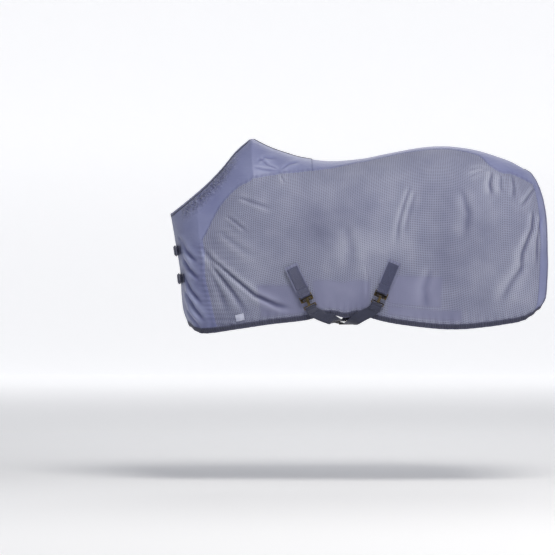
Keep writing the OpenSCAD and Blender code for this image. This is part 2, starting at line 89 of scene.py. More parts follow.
# the horse under the sheet, in mm
shape = {
    # side outlines as (x, z)
    "neck": [(-862, -255), (-790, -201), (-704, -128), (-629, -50), (-559, 36), (-492, 96)],
    "spine": [(-492, 96), (-410, 55), (-340, 30), (-265, 8), (-130, -10), (20, 1), (140, 25), (290, 52),
              (390, 59), (470, 54), (560, 38), (680, 0), (720, -17), (775, -48)],
    "hem": [(-775, -775), (-735, -802), (-690, -806), (-550, -786), (-405, -764), (-240, -744),
            (-165, -724), (-112, -722), (-62, -733), (-15, -723), (20, -724), (95, -746), (190, -764),
            (360, -784), (465, -786), (560, -778), (665, -764), (757, -743), (828, -690)],
    # guide columns as (z, x): chest line, shoulder seam, hips, rear edge
    "chest": [(-775, -775), (-700, -803), (-620, -812), (-515, -818), (-395, -838), (-255, -862)],
    "seam": [(-803, -655), (-730, -675), (-629, -698), (-565, -714), (-447, -718), (-392, -727),
             (-165, -745)],
    "hips": [(-764, 660), (-400, 695), (-8, 700)],
    "dock": [(-690, 828), (-652, 853), (-611, 862), (-450, 868), (-254, 861), (-141, 837),
             (-70, 803), (-48, 775)],
    # by station: 0 chest, 1 shoulder seam, 2 hips, 3 rear edge
    "sideWidth": [(1, 205), (1.12, 240), (1.3, 268), (1.5, 298), (1.65, 296), (1.8, 280), (2, 264)],
    "ridge": [(1, 1), (1.175, 1.3), (1.4, 1.05), (1.6, 1), (2, 0.95)],
    "rearWidth": [(0, 0), (0.15, 60), (0.4, 128), (0.7, 160), (1, 172)],
    "seamRow": [(1, 0.46), (1.015, 0.436), (1.03, 0.4), (1.05, 0.352), (1.08, 0.313), (1.13, 0.325),
                (1.17, 0.35), (1.24, 0.298), (1.3, 0.251), (1.41, 0.175), (1.52, 0.112), (1.785, 0.098),
                (1.9, 0.13), (1.93, 0.2), (1.97, 0.235), (2, 0.22), (3, 0.28)],
    "withers": 1.175, "stripFrom": 1.37, "stripTo": 2.985, "bandFrom": 2.7, "cornerRow": 0.46,
    "widest": 0.45, "widestRow": 0.56, "tuck": 0.1, "turn": radians(67.5), "neckWidth": 150,
    "lapLift": 3.5, "hemWidth": 24, "neckTape": 14,
}
regions = (("chest", "seam"), ("seam", "hips"), ("hips", "dock"))


def along(u):
    # share of a region's length gone by: round at the chest and the rump
    turn = shape["turn"]
    return np.where(u < 1, (1 - np.cos(turn * u)) / (1 - cos(turn)),
                    np.where(u > 2, np.sin(turn * (u - 2)) / sin(turn), u - 1))


def between(first, second, f, t):
    # a patch between two guide columns and the outlines above and below
    a, b = np.array(shape[first], float), np.array(shape[second], float)
    xTop, xHem = mix(a[-1, 1], b[-1, 1], f), mix(a[0, 1], b[0, 1], f)
    zTop = np.where(xTop < shape["neck"][-1][0], curveAt(shape["neck"], xTop), curveAt(shape["spine"], xTop))
    zHem = curveAt(shape["hem"], xHem)
    zA, zB = mix(a[-1, 0], a[0, 0], t), mix(b[-1, 0], b[0, 0], t)
    x = mix(xTop, xHem, t) + mix(curveAt(a, zA), curveAt(b, zB), f) - mix(xTop, xHem, t)
    z = mix(zTop, zHem, t) + mix(zA, zB, f) - mix(mix(a[-1, 0], b[-1, 0], f), mix(a[0, 0], b[0, 0], f), t)
    return x, z


def sideView(u, t):
    # side view place of station u, a share t of the way from the top edge to the hem
    x, z = np.zeros_like(u), np.zeros_like(u)
    f = along(u)
    for which, (first, second) in zip((u < 1, (u >= 1) & (u <= 2), u > 2), regions):
        px, pz = between(first, second, f, t)
        x, z = np.where(which, px, x), np.where(which, pz, z)
    return x, z


def bodyPoint(u, r):
    # place on the horse at station u and row r in mm; r > 0 is the left side, at -Y
    u, r = np.broadcast_arrays(np.asarray(u, float), np.asarray(r, float))
    k, turn = np.abs(r), shape["turn"]
    um = np.clip(u, 1, 2)
    w = curveAt(shape["sideWidth"], um)
    v = (shape["withers"] - um) / (shape["withers"] - 1)
    ease = 0.24 * smoothly(k / 0.1)      # rounds the cloth over where the neck opening closes
    v = np.clip((v + np.sqrt(v * v + ease * ease + 1e-9)) / 2, 0, 1)
    start = np.arcsin(shape["neckWidth"] * v ** 0.6 * (1 - 0.25 * v) / w)
    q = np.where(k < shape["widestRow"], start + (pi / 2 - start) * k / shape["widestRow"], pi / 2)
    low = np.maximum(0, (k - shape["widestRow"]) / (1 - shape["widestRow"]))
    side = w * np.sin(q) ** curveAt(shape["ridge"], um) * (1 - shape["tuck"] * low * low)
    t = np.where(k < shape["widestRow"], shape["widest"] * (np.cos(start) - np.cos(q)) / np.cos(start),
                 mix(shape["widest"], 1, low))
    x, z = sideView(np.where(u < 1, np.abs(u), u), t)
    y = np.where(u < 1, side * np.sin(turn * u) / sin(turn),
                 np.where(u > 2, mix(side, curveAt(shape["rearWidth"], k),
                                     (1 - np.cos(turn * (u - 2))) / (1 - cos(turn))), side))
    return np.stack([x, np.where(r < 0, y, -y), z], -1)


def outward(u, r):
    # the way out from the horse at station u and row r
    u, r = np.broadcast_arrays(np.asarray(u, float), np.asarray(r, float))
    nudge = 0.004
    side = np.where(r < 0, -1.0, 1.0)
    k = np.abs(r)
    u0 = np.where(u < 2.5, u, u - nudge)
    k0 = np.where(k < 0.5, k, k - nudge)
    forward = bodyPoint(u0 + nudge, k0) - bodyPoint(u0, k0)
    downward = bodyPoint(u0, k0 + nudge) - bodyPoint(u0, k0 - nudge)
    n = -np.cross(forward, downward)
    n /= np.maximum(np.linalg.norm(n, axis=-1, keepdims=True), 1e-9)
    n[..., 1] *= side
    return n


def sheetHeight(u):
    u = np.abs(np.asarray(u, float))
    return sideView(u, np.zeros_like(u))[1] - sideView(u, np.ones_like(u))[1]


def rowsFor(length, u):
    return length * (1 - shape["widestRow"]) / ((1 - shape["widest"]) * sheetHeight(u))


def seamRow(u):
    return curveAt(shape["seamRow"], u)


# how the cloth creases, in metres
creases = [
    # (x, z) points down each crease, how wide and how deep it is
    {"path": [(-.728, -.395), (-.665, -.470), (-.575, -.550), (-.475, -.632), (-.375, -.678), (-.255, -.700)],
     "width": .016, "depth": .013},
    {"path": [(-.722, -.410), (-.650, -.520), (-.575, -.620), (-.500, -.735)], "width": .019, "depth": .011},
    {"path": [(-.700, -.480), (-.640, -.600), (-.590, -.730)], "width": .022, "depth": .005},
    {"path": [(-.610, -.262), (-.560, -.300), (-.505, -.345)], "width": .011, "depth": .0065},
    {"path": [(-.560, -.180), (-.470, -.212), (-.385, -.240)], "width": .014, "depth": .005},
    {"path": [(-.650, -.330), (-.560, -.400), (-.450, -.470)], "width": .024, "depth": .003},
    {"path": [(.240, -.120), (.205, -.220), (.180, -.310), (.170, -.425)], "width": .014, "depth": .007},
    {"path": [(.262, -.150), (.225, -.270), (.205, -.360)], "width": .018, "depth": .004},
    {"path": [(.032, -.480), (.042, -.560), (.040, -.660)], "width": .009, "depth": .006},
    {"path": [(.470, -.140), (.500, -.260), (.480, -.400)], "width": .030, "depth": .005},
    {"path": [(.800, -.230), (.790, -.330), (.745, -.440), (.735, -.560)], "width": .018, "depth": .010},
    {"path": [(.835, -.260), (.815, -.380), (.812, -.520)], "width": .014, "depth": .008},
    {"path": [(.760, -.480), (.700, -.570), (.640, -.680)], "width": .026, "depth": .006},
    {"path": [(.615, -.060), (.600, -.120), (.608, -.185)], "width": .016, "depth": .010},
    {"path": [(.655, -.075), (.650, -.130), (.655, -.170)], "width": .013, "depth": .006},
    {"path": [(.705, -.080), (.712, -.140), (.705, -.200)], "width": .014, "depth": .006},
    {"path": [(.812, -.135), (.770, -.190), (.735, -.235)], "width": .013, "depth": .007},
    {"path": [(.600, -.056), (.560, -.048), (.500, -.060)], "width": .009, "depth": .004},
    {"path": [(.600, -.056), (.550, -.070), (.490, -.095)], "width": .010, "depth": .004},
    {"path": [(-.362, -.058), (-.420, -.030), (-.465, .010)], "width": .009, "depth": .0045},
    {"path": [(-.362, -.060), (-.430, -.055), (-.490, -.040)], "width": .009, "depth": .0045},
    {"path": [(-.356, -.056), (-.320, -.030), (-.265, -.018)], "width": .009, "depth": .004},
    {"path": [(-.360, -.066), (-.350, -.095), (-.335, -.120)], "width": .008, "depth": .006},
    {"path": [(-.470, -.020), (-.430, .000), (-.370, -.005)], "width": .011, "depth": .004},
    {"path": [(-.835, -.350), (-.790, -.430), (-.735, -.490)], "width": .015, "depth": .012},
    {"path": [(-.828, -.420), (-.780, -.510), (-.725, -.570)], "width": .014, "depth": .012},
    {"path": [(-.815, -.520), (-.770, -.610), (-.715, -.680)], "width": .014, "depth": .012},
    {"path": [(-.800, -.600), (-.755, -.690), (-.700, -.760)], "width": .015, "depth": .012},
    {"path": [(-.795, -.690), (-.755, -.745), (-.720, -.790)], "width": .012, "depth": .006},
    {"path": [(.330, -.500), (.300, -.600), (.310, -.720)], "width": .030, "depth": .004},
    {"path": [(-.060, -.300), (-.030, -.430), (-.045, -.560)], "width": .040, "depth": .003},
]


def creaseHeight(x, z):
    # a soft ridge with a sharper valley beside it, fading out towards both ends
    total = np.zeros_like(x)
    for crease in creases:
        pts = np.array(crease["path"])
        steps = np.linalg.norm(np.diff(pts, axis=0), axis=1)
        gone = np.concatenate([[0], np.cumsum(steps)])
        best = np.full(x.shape, 1e9)
        side, share = np.zeros_like(x), np.zeros_like(x)
        for i, step in enumerate(steps):
            ax, az = pts[i]
            dx, dz = (pts[i + 1] - pts[i]) / step
            s = np.clip((x - ax) * dx + (z - az) * dz, 0, step)
            px, pz = x - ax - s * dx, z - az - s * dz
            d = np.hypot(px, pz)
            near = d < best
            best = np.where(near, d, best)
            side = np.where(near, np.sign(px * dz - pz * dx), side)
            share = np.where(near, (gone[i] + s) / gone[-1], share)
        w = crease["width"] * (0.7 + 0.5 * share)
        d = best * side / w
        fade = smoothly(share / 0.18) * smoothly((1 - share) / 0.35)
        total += crease["depth"] * fade * (0.75 * np.exp(-(d - 0.9) ** 2) - np.exp(-(d * 1.35) ** 2 * 1.6)
                                           + 0.35 * np.exp(-(d + 1.2) ** 2))
    return total


def smallNoise(x, y, z, scale):
    flat = np.stack([x.ravel(), y.ravel(), z.ravel()], -1) * scale
    return np.array([noise.fractal(p, 1.0, 2.0, 2) for p in flat]).reshape(x.shape)


unevenness = {
    # how high each kind stands and how long its waves are, in metres
    "farSideShare": 0.55, "farSideStretch": 0.94, "farSideShift": -0.03,
    "broad": 0.0035, "small": 0.0011, "seam": 0.0011, "seamWave": 0.021, "front": 0.001, "frontWave": 0.024,
    "hem": 0.0018, "hemWave": 0.034, "gather": 0.001, "gatherWave": 0.026, "ruche": 0.0042,
}


def puckers(s, high, wave, wander, along):
    # an uneven row of waves along a seam, s being the way along it
    return high * np.sin(s * 2 * pi / wave + wander * noiseLine(s * along))


def billow(u, r, points):
    # everything that keeps the cloth from lying like paint, as a height off the horse in metres
    x, y, z = (points[..., i] * mm for i in range(3))
    k, how = np.abs(r), unevenness
    # the far side creases less, and in slightly different places
    weaker = np.where(r < 0, how["farSideShare"], 1.0)
    xs = np.where(r < 0, x * how["farSideStretch"] + how["farSideShift"], x)
    high = creaseHeight(xs, z) * weaker * smoothly(k / 0.06)
    high += how["broad"] * smoothly((k - 0.25) / 0.4) * smallNoise(x, y, z, 3.2)
    high += how["small"] * smoothly((k - 0.1) / 0.2) * smallNoise(x + 5, y, z, 14)
    # puckers where the panels are sewn together, down the shoulder seam and along the hem
    near = np.exp(-((k - seamRow(np.clip(u, 1, 3))) / 0.022) ** 2) * (u >= 1)
    high += near * puckers(x, how["seam"], how["seamWave"], 3, 9)
    front = np.exp(-((u - 1) / 0.12) ** 2) * (k > shape["cornerRow"])
    high += front * puckers(z, how["front"], how["frontWave"], 3, 9)
    high += np.exp(-((1 - k) / 0.045) ** 2) * puckers(x, how["hem"], how["hemWave"], 4, 7)
    # gathers below the neck tape, strongest over the point of the shoulder
    gather = gathering(u, k)
    high += gather * puckers(x + z, how["gather"], how["gatherWave"], 5, 12)
    high += how["ruche"] * gather * np.abs(smallNoise(x, y, z, 52))
    return high * calm(u, x, z)


quietSpots = [
    # boxes in (x, z) where webbing lies on the cloth, and how far their calm reaches
    {"x": (-.300, -.195), "z": (-.720, -.485), "reach": .035},
    {"x": (.062, .182), "z": (-.700, -.470), "reach": .035},
    {"x": (-.870, -.812), "z": (-.460, -.388), "reach": .022},
    {"x": (-.870, -.808), "z": (-.590, -.518), "reach": .022},
]


def calm(u, x, z):
    # 1 where the cloth may billow, falling to little where straps hold it down
    share = np.ones_like(x)
    for spot in quietSpots:
        dx = np.maximum(np.maximum(spot["x"][0] - x, x - spot["x"][1]), 0)
        dz = np.maximum(np.maximum(spot["z"][0] - z, z - spot["z"][1]), 0)
        share *= 1 - 0.9 * np.exp(-(np.hypot(dx, dz) / spot["reach"]) ** 2)
    return share * (0.25 + 0.75 * smoothly((np.abs(u) - 0.12) / 0.4))


def gathering(u, k):
    # how tightly the smooth panel is gathered below the neck tape
    return np.exp(-((k - 0.09) / 0.085) ** 2) * smoothly((u - 0.5) / 0.3) * smoothly((1.16 - u) / 0.08)


def noiseLine(s):
    return np.sin(s) * 0.6 + np.sin(s * 2.3 + 1.3) * 0.3 + np.sin(s * 5.1 + 0.4) * 0.2


def lapLift(u, r):
    return np.where(r > 0, shape["lapLift"] * (1 - smoothly(u / 0.2)), 0)


def onSheet(u, r, offset=0.0):
    # a place on the finished cloth, in metres; offset is in mm above its inner face
    u, r = np.broadcast_arrays(np.asarray(u, float), np.asarray(r, float))
    p, n = bodyPoint(u, r), outward(u, r)
    high = (1 + offset + lapLift(u, r)) * mm + billow(u, r, p)
    return p * mm + n * np.asarray(high)[..., None]


def clothGrid(name, points, uv, thickness=0.6, attributes=None, keep=None, inside=None):
    # a grid primitive taken to its place point by point, with its thickness put on inwards
    n, m = points.shape[:2]
    clearSelection()
    bpy.ops.mesh.primitive_grid_add(x_subdivisions=n - 1, y_subdivisions=m - 1, size=2)
    obj = bpy.context.object
    obj.name = obj.data.name = name
    mesh = obj.data
    mesh.vertices.foreach_set("co", points.transpose(1, 0, 2).reshape(-1).astype(np.float32))
    layer = mesh.uv_layers.active
    layer.name = "weave"
    corner = np.zeros(len(mesh.loops), np.int32)
    mesh.loops.foreach_get("vertex_index", corner)
    flatUv = uv.transpose(1, 0, 2).reshape(-1, 2)[corner]
    layer.data.foreach_set("uv", flatUv.reshape(-1).astype(np.float32))
    for key, values in (attributes or {}).items():
        made = mesh.attributes.new(key, "FLOAT", "POINT")
        made.data.foreach_set("value", np.ascontiguousarray(values.T.reshape(-1), dtype=np.float32))
    mesh.update()
    # the faces follow the grid's rows, so they are turned over where that leaves them looking inwards
    normals = np.array([p.normal for p in mesh.polygons])
    centres = np.array([p.center for p in mesh.polygons])
    if inside == "line":
        outer = (np.arange(len(normals)) // (n - 1)) < 3
        aim = np.tile((points[:, 1] - points[:, -3]).mean(axis=0), (len(normals), 1)) * outer[:, None]
        aim = aim + outer[:, None] * (centres - centres.mean(axis=0)) * [0, 1, 0.2]
    else:
        aim = centres - centres * [0.85, 0, 0] - [0, 0, -0.4]
    if (normals * aim).sum() < 0:
        mesh.flip_normals()
    if keep is not None:
        work = bmesh.new()
        work.from_mesh(mesh)
        work.verts.ensure_lookup_table()
        flags = keep.T.reshape(-1)
        bmesh.ops.delete(work, geom=[v for v in work.verts if not flags[v.index]], context="VERTS")
        work.to_mesh(mesh)
        work.free()
    if thickness:
        solid = obj.modifiers.new("thickness", "SOLIDIFY")
        solid.thickness = thickness * mm
        solid.offset = -1
        applyModifiers(obj)
    mesh.shade_smooth()
    return obj


def metricUv(points):
    # UVs in metres, along and across the cloth, so that every weave keeps its real size
    du = np.linalg.norm(np.diff(points, axis=0), axis=-1).mean(axis=1)
    dv = np.linalg.norm(np.diff(points, axis=1), axis=-1)
    s = np.concatenate([[0], np.cumsum(du)])
    t = np.concatenate([np.zeros((points.shape[0], 1)), np.cumsum(dv, axis=1)], axis=1)
    return np.stack([np.broadcast_to(s[:, None], t.shape), t], -1)


def panelUv(points):
    # warp runs along the horse and weft down its side, counted from the same place on every panel
    uv = metricUv(points)
    uv[..., 0] = points[..., 0].mean(axis=1)[:, None]
    return uv


print("shape and creases ready")


def addNode(tree, kind, settings=None, inputs=None):
    # one node with its settings; an input is either a value or another node's output
    made = tree.nodes.new(kind)
    for name, value in (settings or {}).items():
        setattr(made, name, value)
    for name, value in (inputs or {}).items():
        if isinstance(value, bpy.types.NodeSocket):
            tree.links.new(value, made.inputs[name])
        else:
            made.inputs[name].default_value = value
    return made


def newMaterial(name, roughness, sheen=0.0, metallic=0.0):
    mat = bpy.data.materials.new(name)
    mat.use_nodes = True
    tree = mat.node_tree
    shader = tree.nodes["Principled BSDF"]
    shader.inputs["Roughness"].default_value = roughness
    shader.inputs["Metallic"].default_value = metallic
    shader.inputs["Sheen Weight"].default_value = sheen
    shader.inputs["Sheen Roughness"].default_value = 0.45
    return mat, tree, shader


def clothMaterial(name, look):
    # woven cloth: threads both ways from the cloth's own UVs, soft colour drift, dust and painted
    # shade in the creases, painted shade in the gathers and a crumple too fine to model
    mat, tree, shader = newMaterial(name, look["roughness"], sheen=look["sheen"])
    pitch, thread, valley = look["pitch"], linear(look["thread"]), linear(look["valley"])
    mixed = {"data_type": "RGBA"}        # its factor is input 0, its colours 6 and 7, its result output 2
    multiplied = {"data_type": "RGBA", "blend_type": "MULTIPLY"}
    weave = addNode(tree, "ShaderNodeUVMap", {"uv_map": "weave"}).outputs[0]
    apart = addNode(tree, "ShaderNodeSeparateXYZ", None, {0: weave})
    # sines along the weave, once per thread
    warp, weft = apart.outputs[0], apart.outputs[1]
    lines = [(warp, pitch), (weft, pitch * look.get("weftRatio", 1.0))]
    if look.get("twill"):
        lean = addNode(tree, "ShaderNodeMath", {"operation": "ADD"}, {0: warp, 1: weft})
        lines = [(lean.outputs[0], pitch)]
    sines = []
    for source, spacing in lines:
        turned = addNode(tree, "ShaderNodeMath", {"operation": "MULTIPLY"}, {0: source, 1: 2 * pi / spacing})
        sine = addNode(tree, "ShaderNodeMath", {"operation": "SINE"}, {0: turned.outputs[0]})
        sines.append(sine.outputs[0])
    crossing = sines[0]
    if len(sines) == 2:
        both = {"operation": look.get("cross", "MAXIMUM")}
        crossing = addNode(tree, "ShaderNodeMath", both, {0: sines[0], 1: sines[1]}).outputs[0]
    share = addNode(tree, "ShaderNodeMapRange", None, {0: crossing, 1: -1.0, 2: 1.0}).outputs[0]
    ribs = addNode(tree, "ShaderNodeValToRGB", None, {"Fac": share})
    gapEnd, threadEnd = ribs.color_ramp.elements
    gapEnd.position, gapEnd.color = look["gapTo"], linear(look["gap"])
    threadEnd.position, threadEnd.color = look["gapTo"] + 0.25, thread
    # the dye drifts a little from place to place
    place = addNode(tree, "ShaderNodeTexCoord").outputs["Object"]
    drift = addNode(tree, "ShaderNodeTexNoise", None, {"Vector": place, "Scale": 5.5, "Detail": 4.0})
    drifted = addNode(tree, "ShaderNodeMapRange", None, {0: drift.outputs[0], 1: 0.35, 2: 0.7}).outputs[0]
    colour = addNode(tree, "ShaderNodeMix", multiplied, {
        0: drifted, 6: ribs.outputs["Color"], 7: linear(look["drift"])}).outputs[2]
    # a lining behind the mesh shows through it
    backed = addNode(tree, "ShaderNodeAttribute", {"attribute_name": "backed"}).outputs["Fac"]
    backedColour = linear(look.get("backedColour", look["thread"]))
    colour = addNode(tree, "ShaderNodeMix", mixed, {0: backed, 6: colour, 7: backedColour}).outputs[2]
    # dust and painted shade darken the valleys of the creases
    crease = addNode(tree, "ShaderNodeAttribute", {"attribute_name": "crease"}).outputs["Fac"]
    dustAndCreaseShade = addNode(tree, "ShaderNodeMapRange", None, {0: crease, 1: -0.6, 2: 0.6, 3: 1.0, 4: 0.0}).outputs[0]
    colour = addNode(tree, "ShaderNodeMix", multiplied, {0: dustAndCreaseShade, 6: colour, 7: valley}).outputs[2]
    # painted shade in small puckers where the cloth is gathered under the neck tape
    gather = addNode(tree, "ShaderNodeAttribute", {"attribute_name": "gather"}).outputs["Fac"]
    pucker = addNode(tree, "ShaderNodeTexNoise", None, {
        "Vector": place, "Scale": 75.0, "Detail": 2.0, "Distortion": 1.2}).outputs[0]
    shade = addNode(tree, "ShaderNodeMapRange", None, {0: pucker, 1: 0.42, 2: 0.6, 3: 0.9, 4: 0.0}).outputs[0]
    gathered = {"operation": "MULTIPLY", "use_clamp": True}
    shade = addNode(tree, "ShaderNodeMath", gathered, {0: shade, 1: gather}).outputs[0]
    colour = addNode(tree, "ShaderNodeMix", multiplied, {0: shade, 6: colour, 7: valley}).outputs[2]
    tree.links.new(colour, shader.inputs["Base Color"])
    # crumple, puckers and threads, each laid over the one before
    stretched = addNode(tree, "ShaderNodeMapping", None, {
        "Vector": place, "Rotation": (0, radians(32), 0), "Scale": (1.0, 1.0, 3.2)}).outputs[0]
    crumple = addNode(tree, "ShaderNodeTexNoise", None, {
        "Vector": stretched, "Scale": look["crumpleScale"], "Detail": 3.0, "Distortion": 0.7}).outputs[0]
    fold = addNode(tree, "ShaderNodeBump", None, {
        "Strength": look["crumple"], "Distance": 0.004, "Height": crumple})
    pucker = addNode(tree, "ShaderNodeMath", {"operation": "MULTIPLY"}, {0: pucker, 1: gather}).outputs[0]
    ruched = addNode(tree, "ShaderNodeBump", None, {
        "Strength": 1.0, "Distance": 0.024, "Height": pucker, "Normal": fold.outputs[0]})
    knit = addNode(tree, "ShaderNodeBump", None, {
        "Strength": look["bump"], "Distance": 0.0005, "Height": crossing, "Normal": ruched.outputs[0]})
    tree.links.new(knit.outputs[0], shader.inputs["Normal"])
    return mat


looks = {
    # polyester fly mesh: a leno net that looks matt and grainy, dark in its holes. Real cells are
    # about 1.5 mm and are drawn at 8 mm so that they show
    "polyesterMesh": {"pitch": 0.008, "gap": "#53566a", "thread": "#9c9fb0", "drift": "#dedfe8", "gapTo": 0.3,
                      "valley": "#a9aabf", "roughness": 0.82, "sheen": 0.25, "bump": 0.35, "crumple": 0.12,
                      "crumpleScale": 24.0, "backedColour": "#84869f"},
    # calendered polyester taffeta: smooth, a little silky, with a fine crumple; ribs drawn at 3 mm
    "smoothPolyester": {"pitch": 0.003, "gap": "#8186a6", "thread": "#8b90ae", "drift": "#e2e3ee",
                        "gapTo": 0.2, "valley": "#a6a8c4", "roughness": 0.52, "sheen": 0.2, "bump": 0.08,
                        "crumple": 0.45, "crumpleScale": 34.0},
    # folded polyester tape, a plain rib that catches light along each pick; ribs drawn at 3 mm
    "bindingTape": {"pitch": 0.003, "weftRatio": 5.0, "cross": "ADD", "gap": "#787b96", "thread": "#9396ae",
                    "drift": "#dcdce6", "gapTo": 0.3, "valley": "#9a9bb0", "roughness": 0.6, "sheen": 0.15,
                    "bump": 0.3, "crumple": 0.15, "crumpleScale": 60.0},
    # the same tape dyed navy for the hem
    "navyTape": {"pitch": 0.003, "weftRatio": 5.0, "cross": "ADD", "gap": "#34364c", "thread": "#4d4f68",
                 "drift": "#cfcfdc", "gapTo": 0.3, "valley": "#7d7e92", "roughness": 0.6, "sheen": 0.2,
                 "bump": 0.3, "crumple": 0.2, "crumpleScale": 60.0},
    # plain weave nylon lining behind the mesh, dull
    "liningCloth": {"pitch": 0.004, "gap": "#6a6d88", "thread": "#7d80a0", "drift": "#dcdce6", "gapTo": 0.25,
                    "valley": "#9a9bb0", "roughness": 0.75, "sheen": 0.1, "bump": 0.15, "crumple": 0.4,
                    "crumpleScale": 40.0},
    # blank woven label, off white satin
    "labelSatin": {"pitch": 0.002, "gap": "#c3c5d3", "thread": "#d5d7e2", "drift": "#ececf2", "gapTo": 0.3,
                   "valley": "#b8bacb", "roughness": 0.45, "sheen": 0.1, "bump": 0.1, "crumple": 0.2,
                   "crumpleScale": 50.0},
    # polypropylene webbing: hard diagonal ribs with a faint shine; ribs drawn at 4 mm
    "navyWebbing": {"pitch": 0.004, "twill": True, "gap": "#2f3249", "thread": "#54587a", "drift": "#d6d7e2",
                    "gapTo": 0.2, "valley": "#8a8ca0", "roughness": 0.5, "sheen": 0.2, "bump": 0.6,
                    "crumple": 0.05, "crumpleScale": 30.0},
    # the same webbing where it runs under the belly, a darker copy that paints the shade it lies in
    "shadedBellyWebbing": {"pitch": 0.004, "twill": True, "gap": "#1d2033", "thread": "#363a55", "drift": "#d6d7e2",
                     "gapTo": 0.2, "valley": "#8a8ca0", "roughness": 0.5, "sheen": 0.15, "bump": 0.6,
                     "crumple": 0.05, "crumpleScale": 30.0},
    # spun polyester thread, matt
    "thread": {"pitch": 0.001, "gap": "#565a7c", "thread": "#6f7397", "drift": "#e0e0ea", "gapTo": 0.3,
               "valley": "#9a9bb0", "roughness": 0.7, "sheen": 0.1, "bump": 0.1, "crumple": 0.0,
               "crumpleScale": 30.0},
}
cloth = {name: clothMaterial(name, look) for name, look in looks.items()}


brassLook = {
    "roughness": (0.28, 0.46), "wear": (0.49, 0.62), "blotchScale": 180.0,
    "patina": [(0.15, "#17140f"), (0.5, "#2e271c"), (1.0, "#6f6248")],
}


def brassMaterial():
    # antique brass plate on zinc: dark brown in the hollows, brassy where it is handled, softly glossy
    mat, tree, shader = newMaterial("antiqueBrassPlate", 0.34, metallic=1.0)
    place = addNode(tree, "ShaderNodeTexCoord").outputs["Object"]
    blotch = addNode(tree, "ShaderNodeTexNoise", None, {
        "Vector": place, "Scale": brassLook["blotchScale"], "Detail": 5.0}).outputs[0]
    edge = addNode(tree, "ShaderNodeNewGeometry").outputs["Pointiness"]
    low, high = brassLook["wear"]
    worn = addNode(tree, "ShaderNodeMapRange", None, {0: edge, 1: low, 2: high}).outputs[0]
    both = addNode(tree, "ShaderNodeMath", {"operation": "MULTIPLY_ADD", "use_clamp": True}, {
        0: blotch, 1: 0.45, 2: worn}).outputs[0]
    patina = addNode(tree, "ShaderNodeValToRGB", None, {"Fac": both})
    patina.color_ramp.elements.new(0.5)
    for element, (at, hexColour) in zip(patina.color_ramp.elements, brassLook["patina"]):
        element.position, element.color = at, linear(hexColour)
    tree.links.new(patina.outputs["Color"], shader.inputs["Base Color"])
    low, high = brassLook["roughness"]
    rough = addNode(tree, "ShaderNodeMapRange", None, {0: blotch, 1: 0.3, 2: 0.7, 3: low, 4: high}).outputs[0]
    tree.links.new(rough, shader.inputs["Roughness"])
    dent = addNode(tree, "ShaderNodeBump", None, {"Strength": 0.15, "Distance": 0.0003, "Height": blotch})
    tree.links.new(dent.outputs[0], shader.inputs["Normal"])
    return mat


brass = brassMaterial()


def settle(obj, finish, body="sheet", replaces=()):
    # give a piece its finish, the body it rides on and the plain solids it stands for
    obj.data.materials.clear()
    obj.data.materials.append(brass if finish == "antiqueBrass" else cloth[finish])
    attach(obj, body)
    if replaces:
        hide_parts(*replaces)
    return obj


cameraSetup = {"at": (-0.3717, -14.0, -0.5495), "lens": 36 * 13.73 / 2.531, "clipEnd": 60}
clearSelection()
bpy.ops.object.camera_add(location=cameraSetup["at"], rotation=(radians(90), 0, 0))
camera = bpy.context.object
camera.data.lens = cameraSetup["lens"]
camera.data.clip_end = cameraSetup["clipEnd"]
bpy.context.scene.camera = camera

stageSetup = {"floor": -1.51, "wide": 44.0, "near": -18.0, "back": 18.0, "high": 14.0, "curve": 2.5,
              "colour": "#e9e9ea", "glow": 0.62, "glowFrom": 0.5, "glowFull": 13.0}


def makeStage():
    # a floor that curves up into a backdrop
    clearSelection()
    bpy.ops.mesh.primitive_grid_add(x_subdivisions=2, y_subdivisions=44, size=2)
    obj = bpy.context.object
    obj.name = "studioFloor"
    r, back, floor = stageSetup["curve"], stageSetup["back"], stageSetup["floor"]
    profile = [(stageSetup["near"], floor), (back - r, floor)]
    bend = [radians(a) for a in range(2, 84, 2)]
    profile += [(back - r + r * sin(a), floor + r - r * cos(a)) for a in bend]
    profile += [(back, floor + r), (back, floor + stageSetup["high"])]
    rows = sorted({round(v.co.y, 5) for v in obj.data.vertices})
    where = {y: k for k, y in enumerate(rows)}
    for v in obj.data.vertices:
        y, z = profile[min(where[round(v.co.y, 5)], len(profile) - 1)]
        v.co = (v.co.x * stageSetup["wide"] / 2, y, z)
    mat, tree, shader = newMaterial("paintedFloor", 0.9)
    shader.inputs["Base Color"].default_value = linear(stageSetup["colour"])
    # the far end of the sweep glows a little, as a lit backdrop does
    place = addNode(tree, "ShaderNodeTexCoord").outputs["Object"]
    depth = addNode(tree, "ShaderNodeSeparateXYZ", None, {0: place}).outputs[1]
    near, far = stageSetup["glowFrom"], stageSetup["glowFull"]
    glow = addNode(tree, "ShaderNodeMapRange", None, {
        0: depth, 1: near, 2: far, 3: 0.0, 4: stageSetup["glow"]})
    shader.inputs["Emission Color"].default_value = linear(stageSetup["colour"])
    tree.links.new(glow.outputs[0], shader.inputs["Emission Strength"])
    obj.data.materials.append(mat)
    obj.data.shade_smooth()


makeStage()


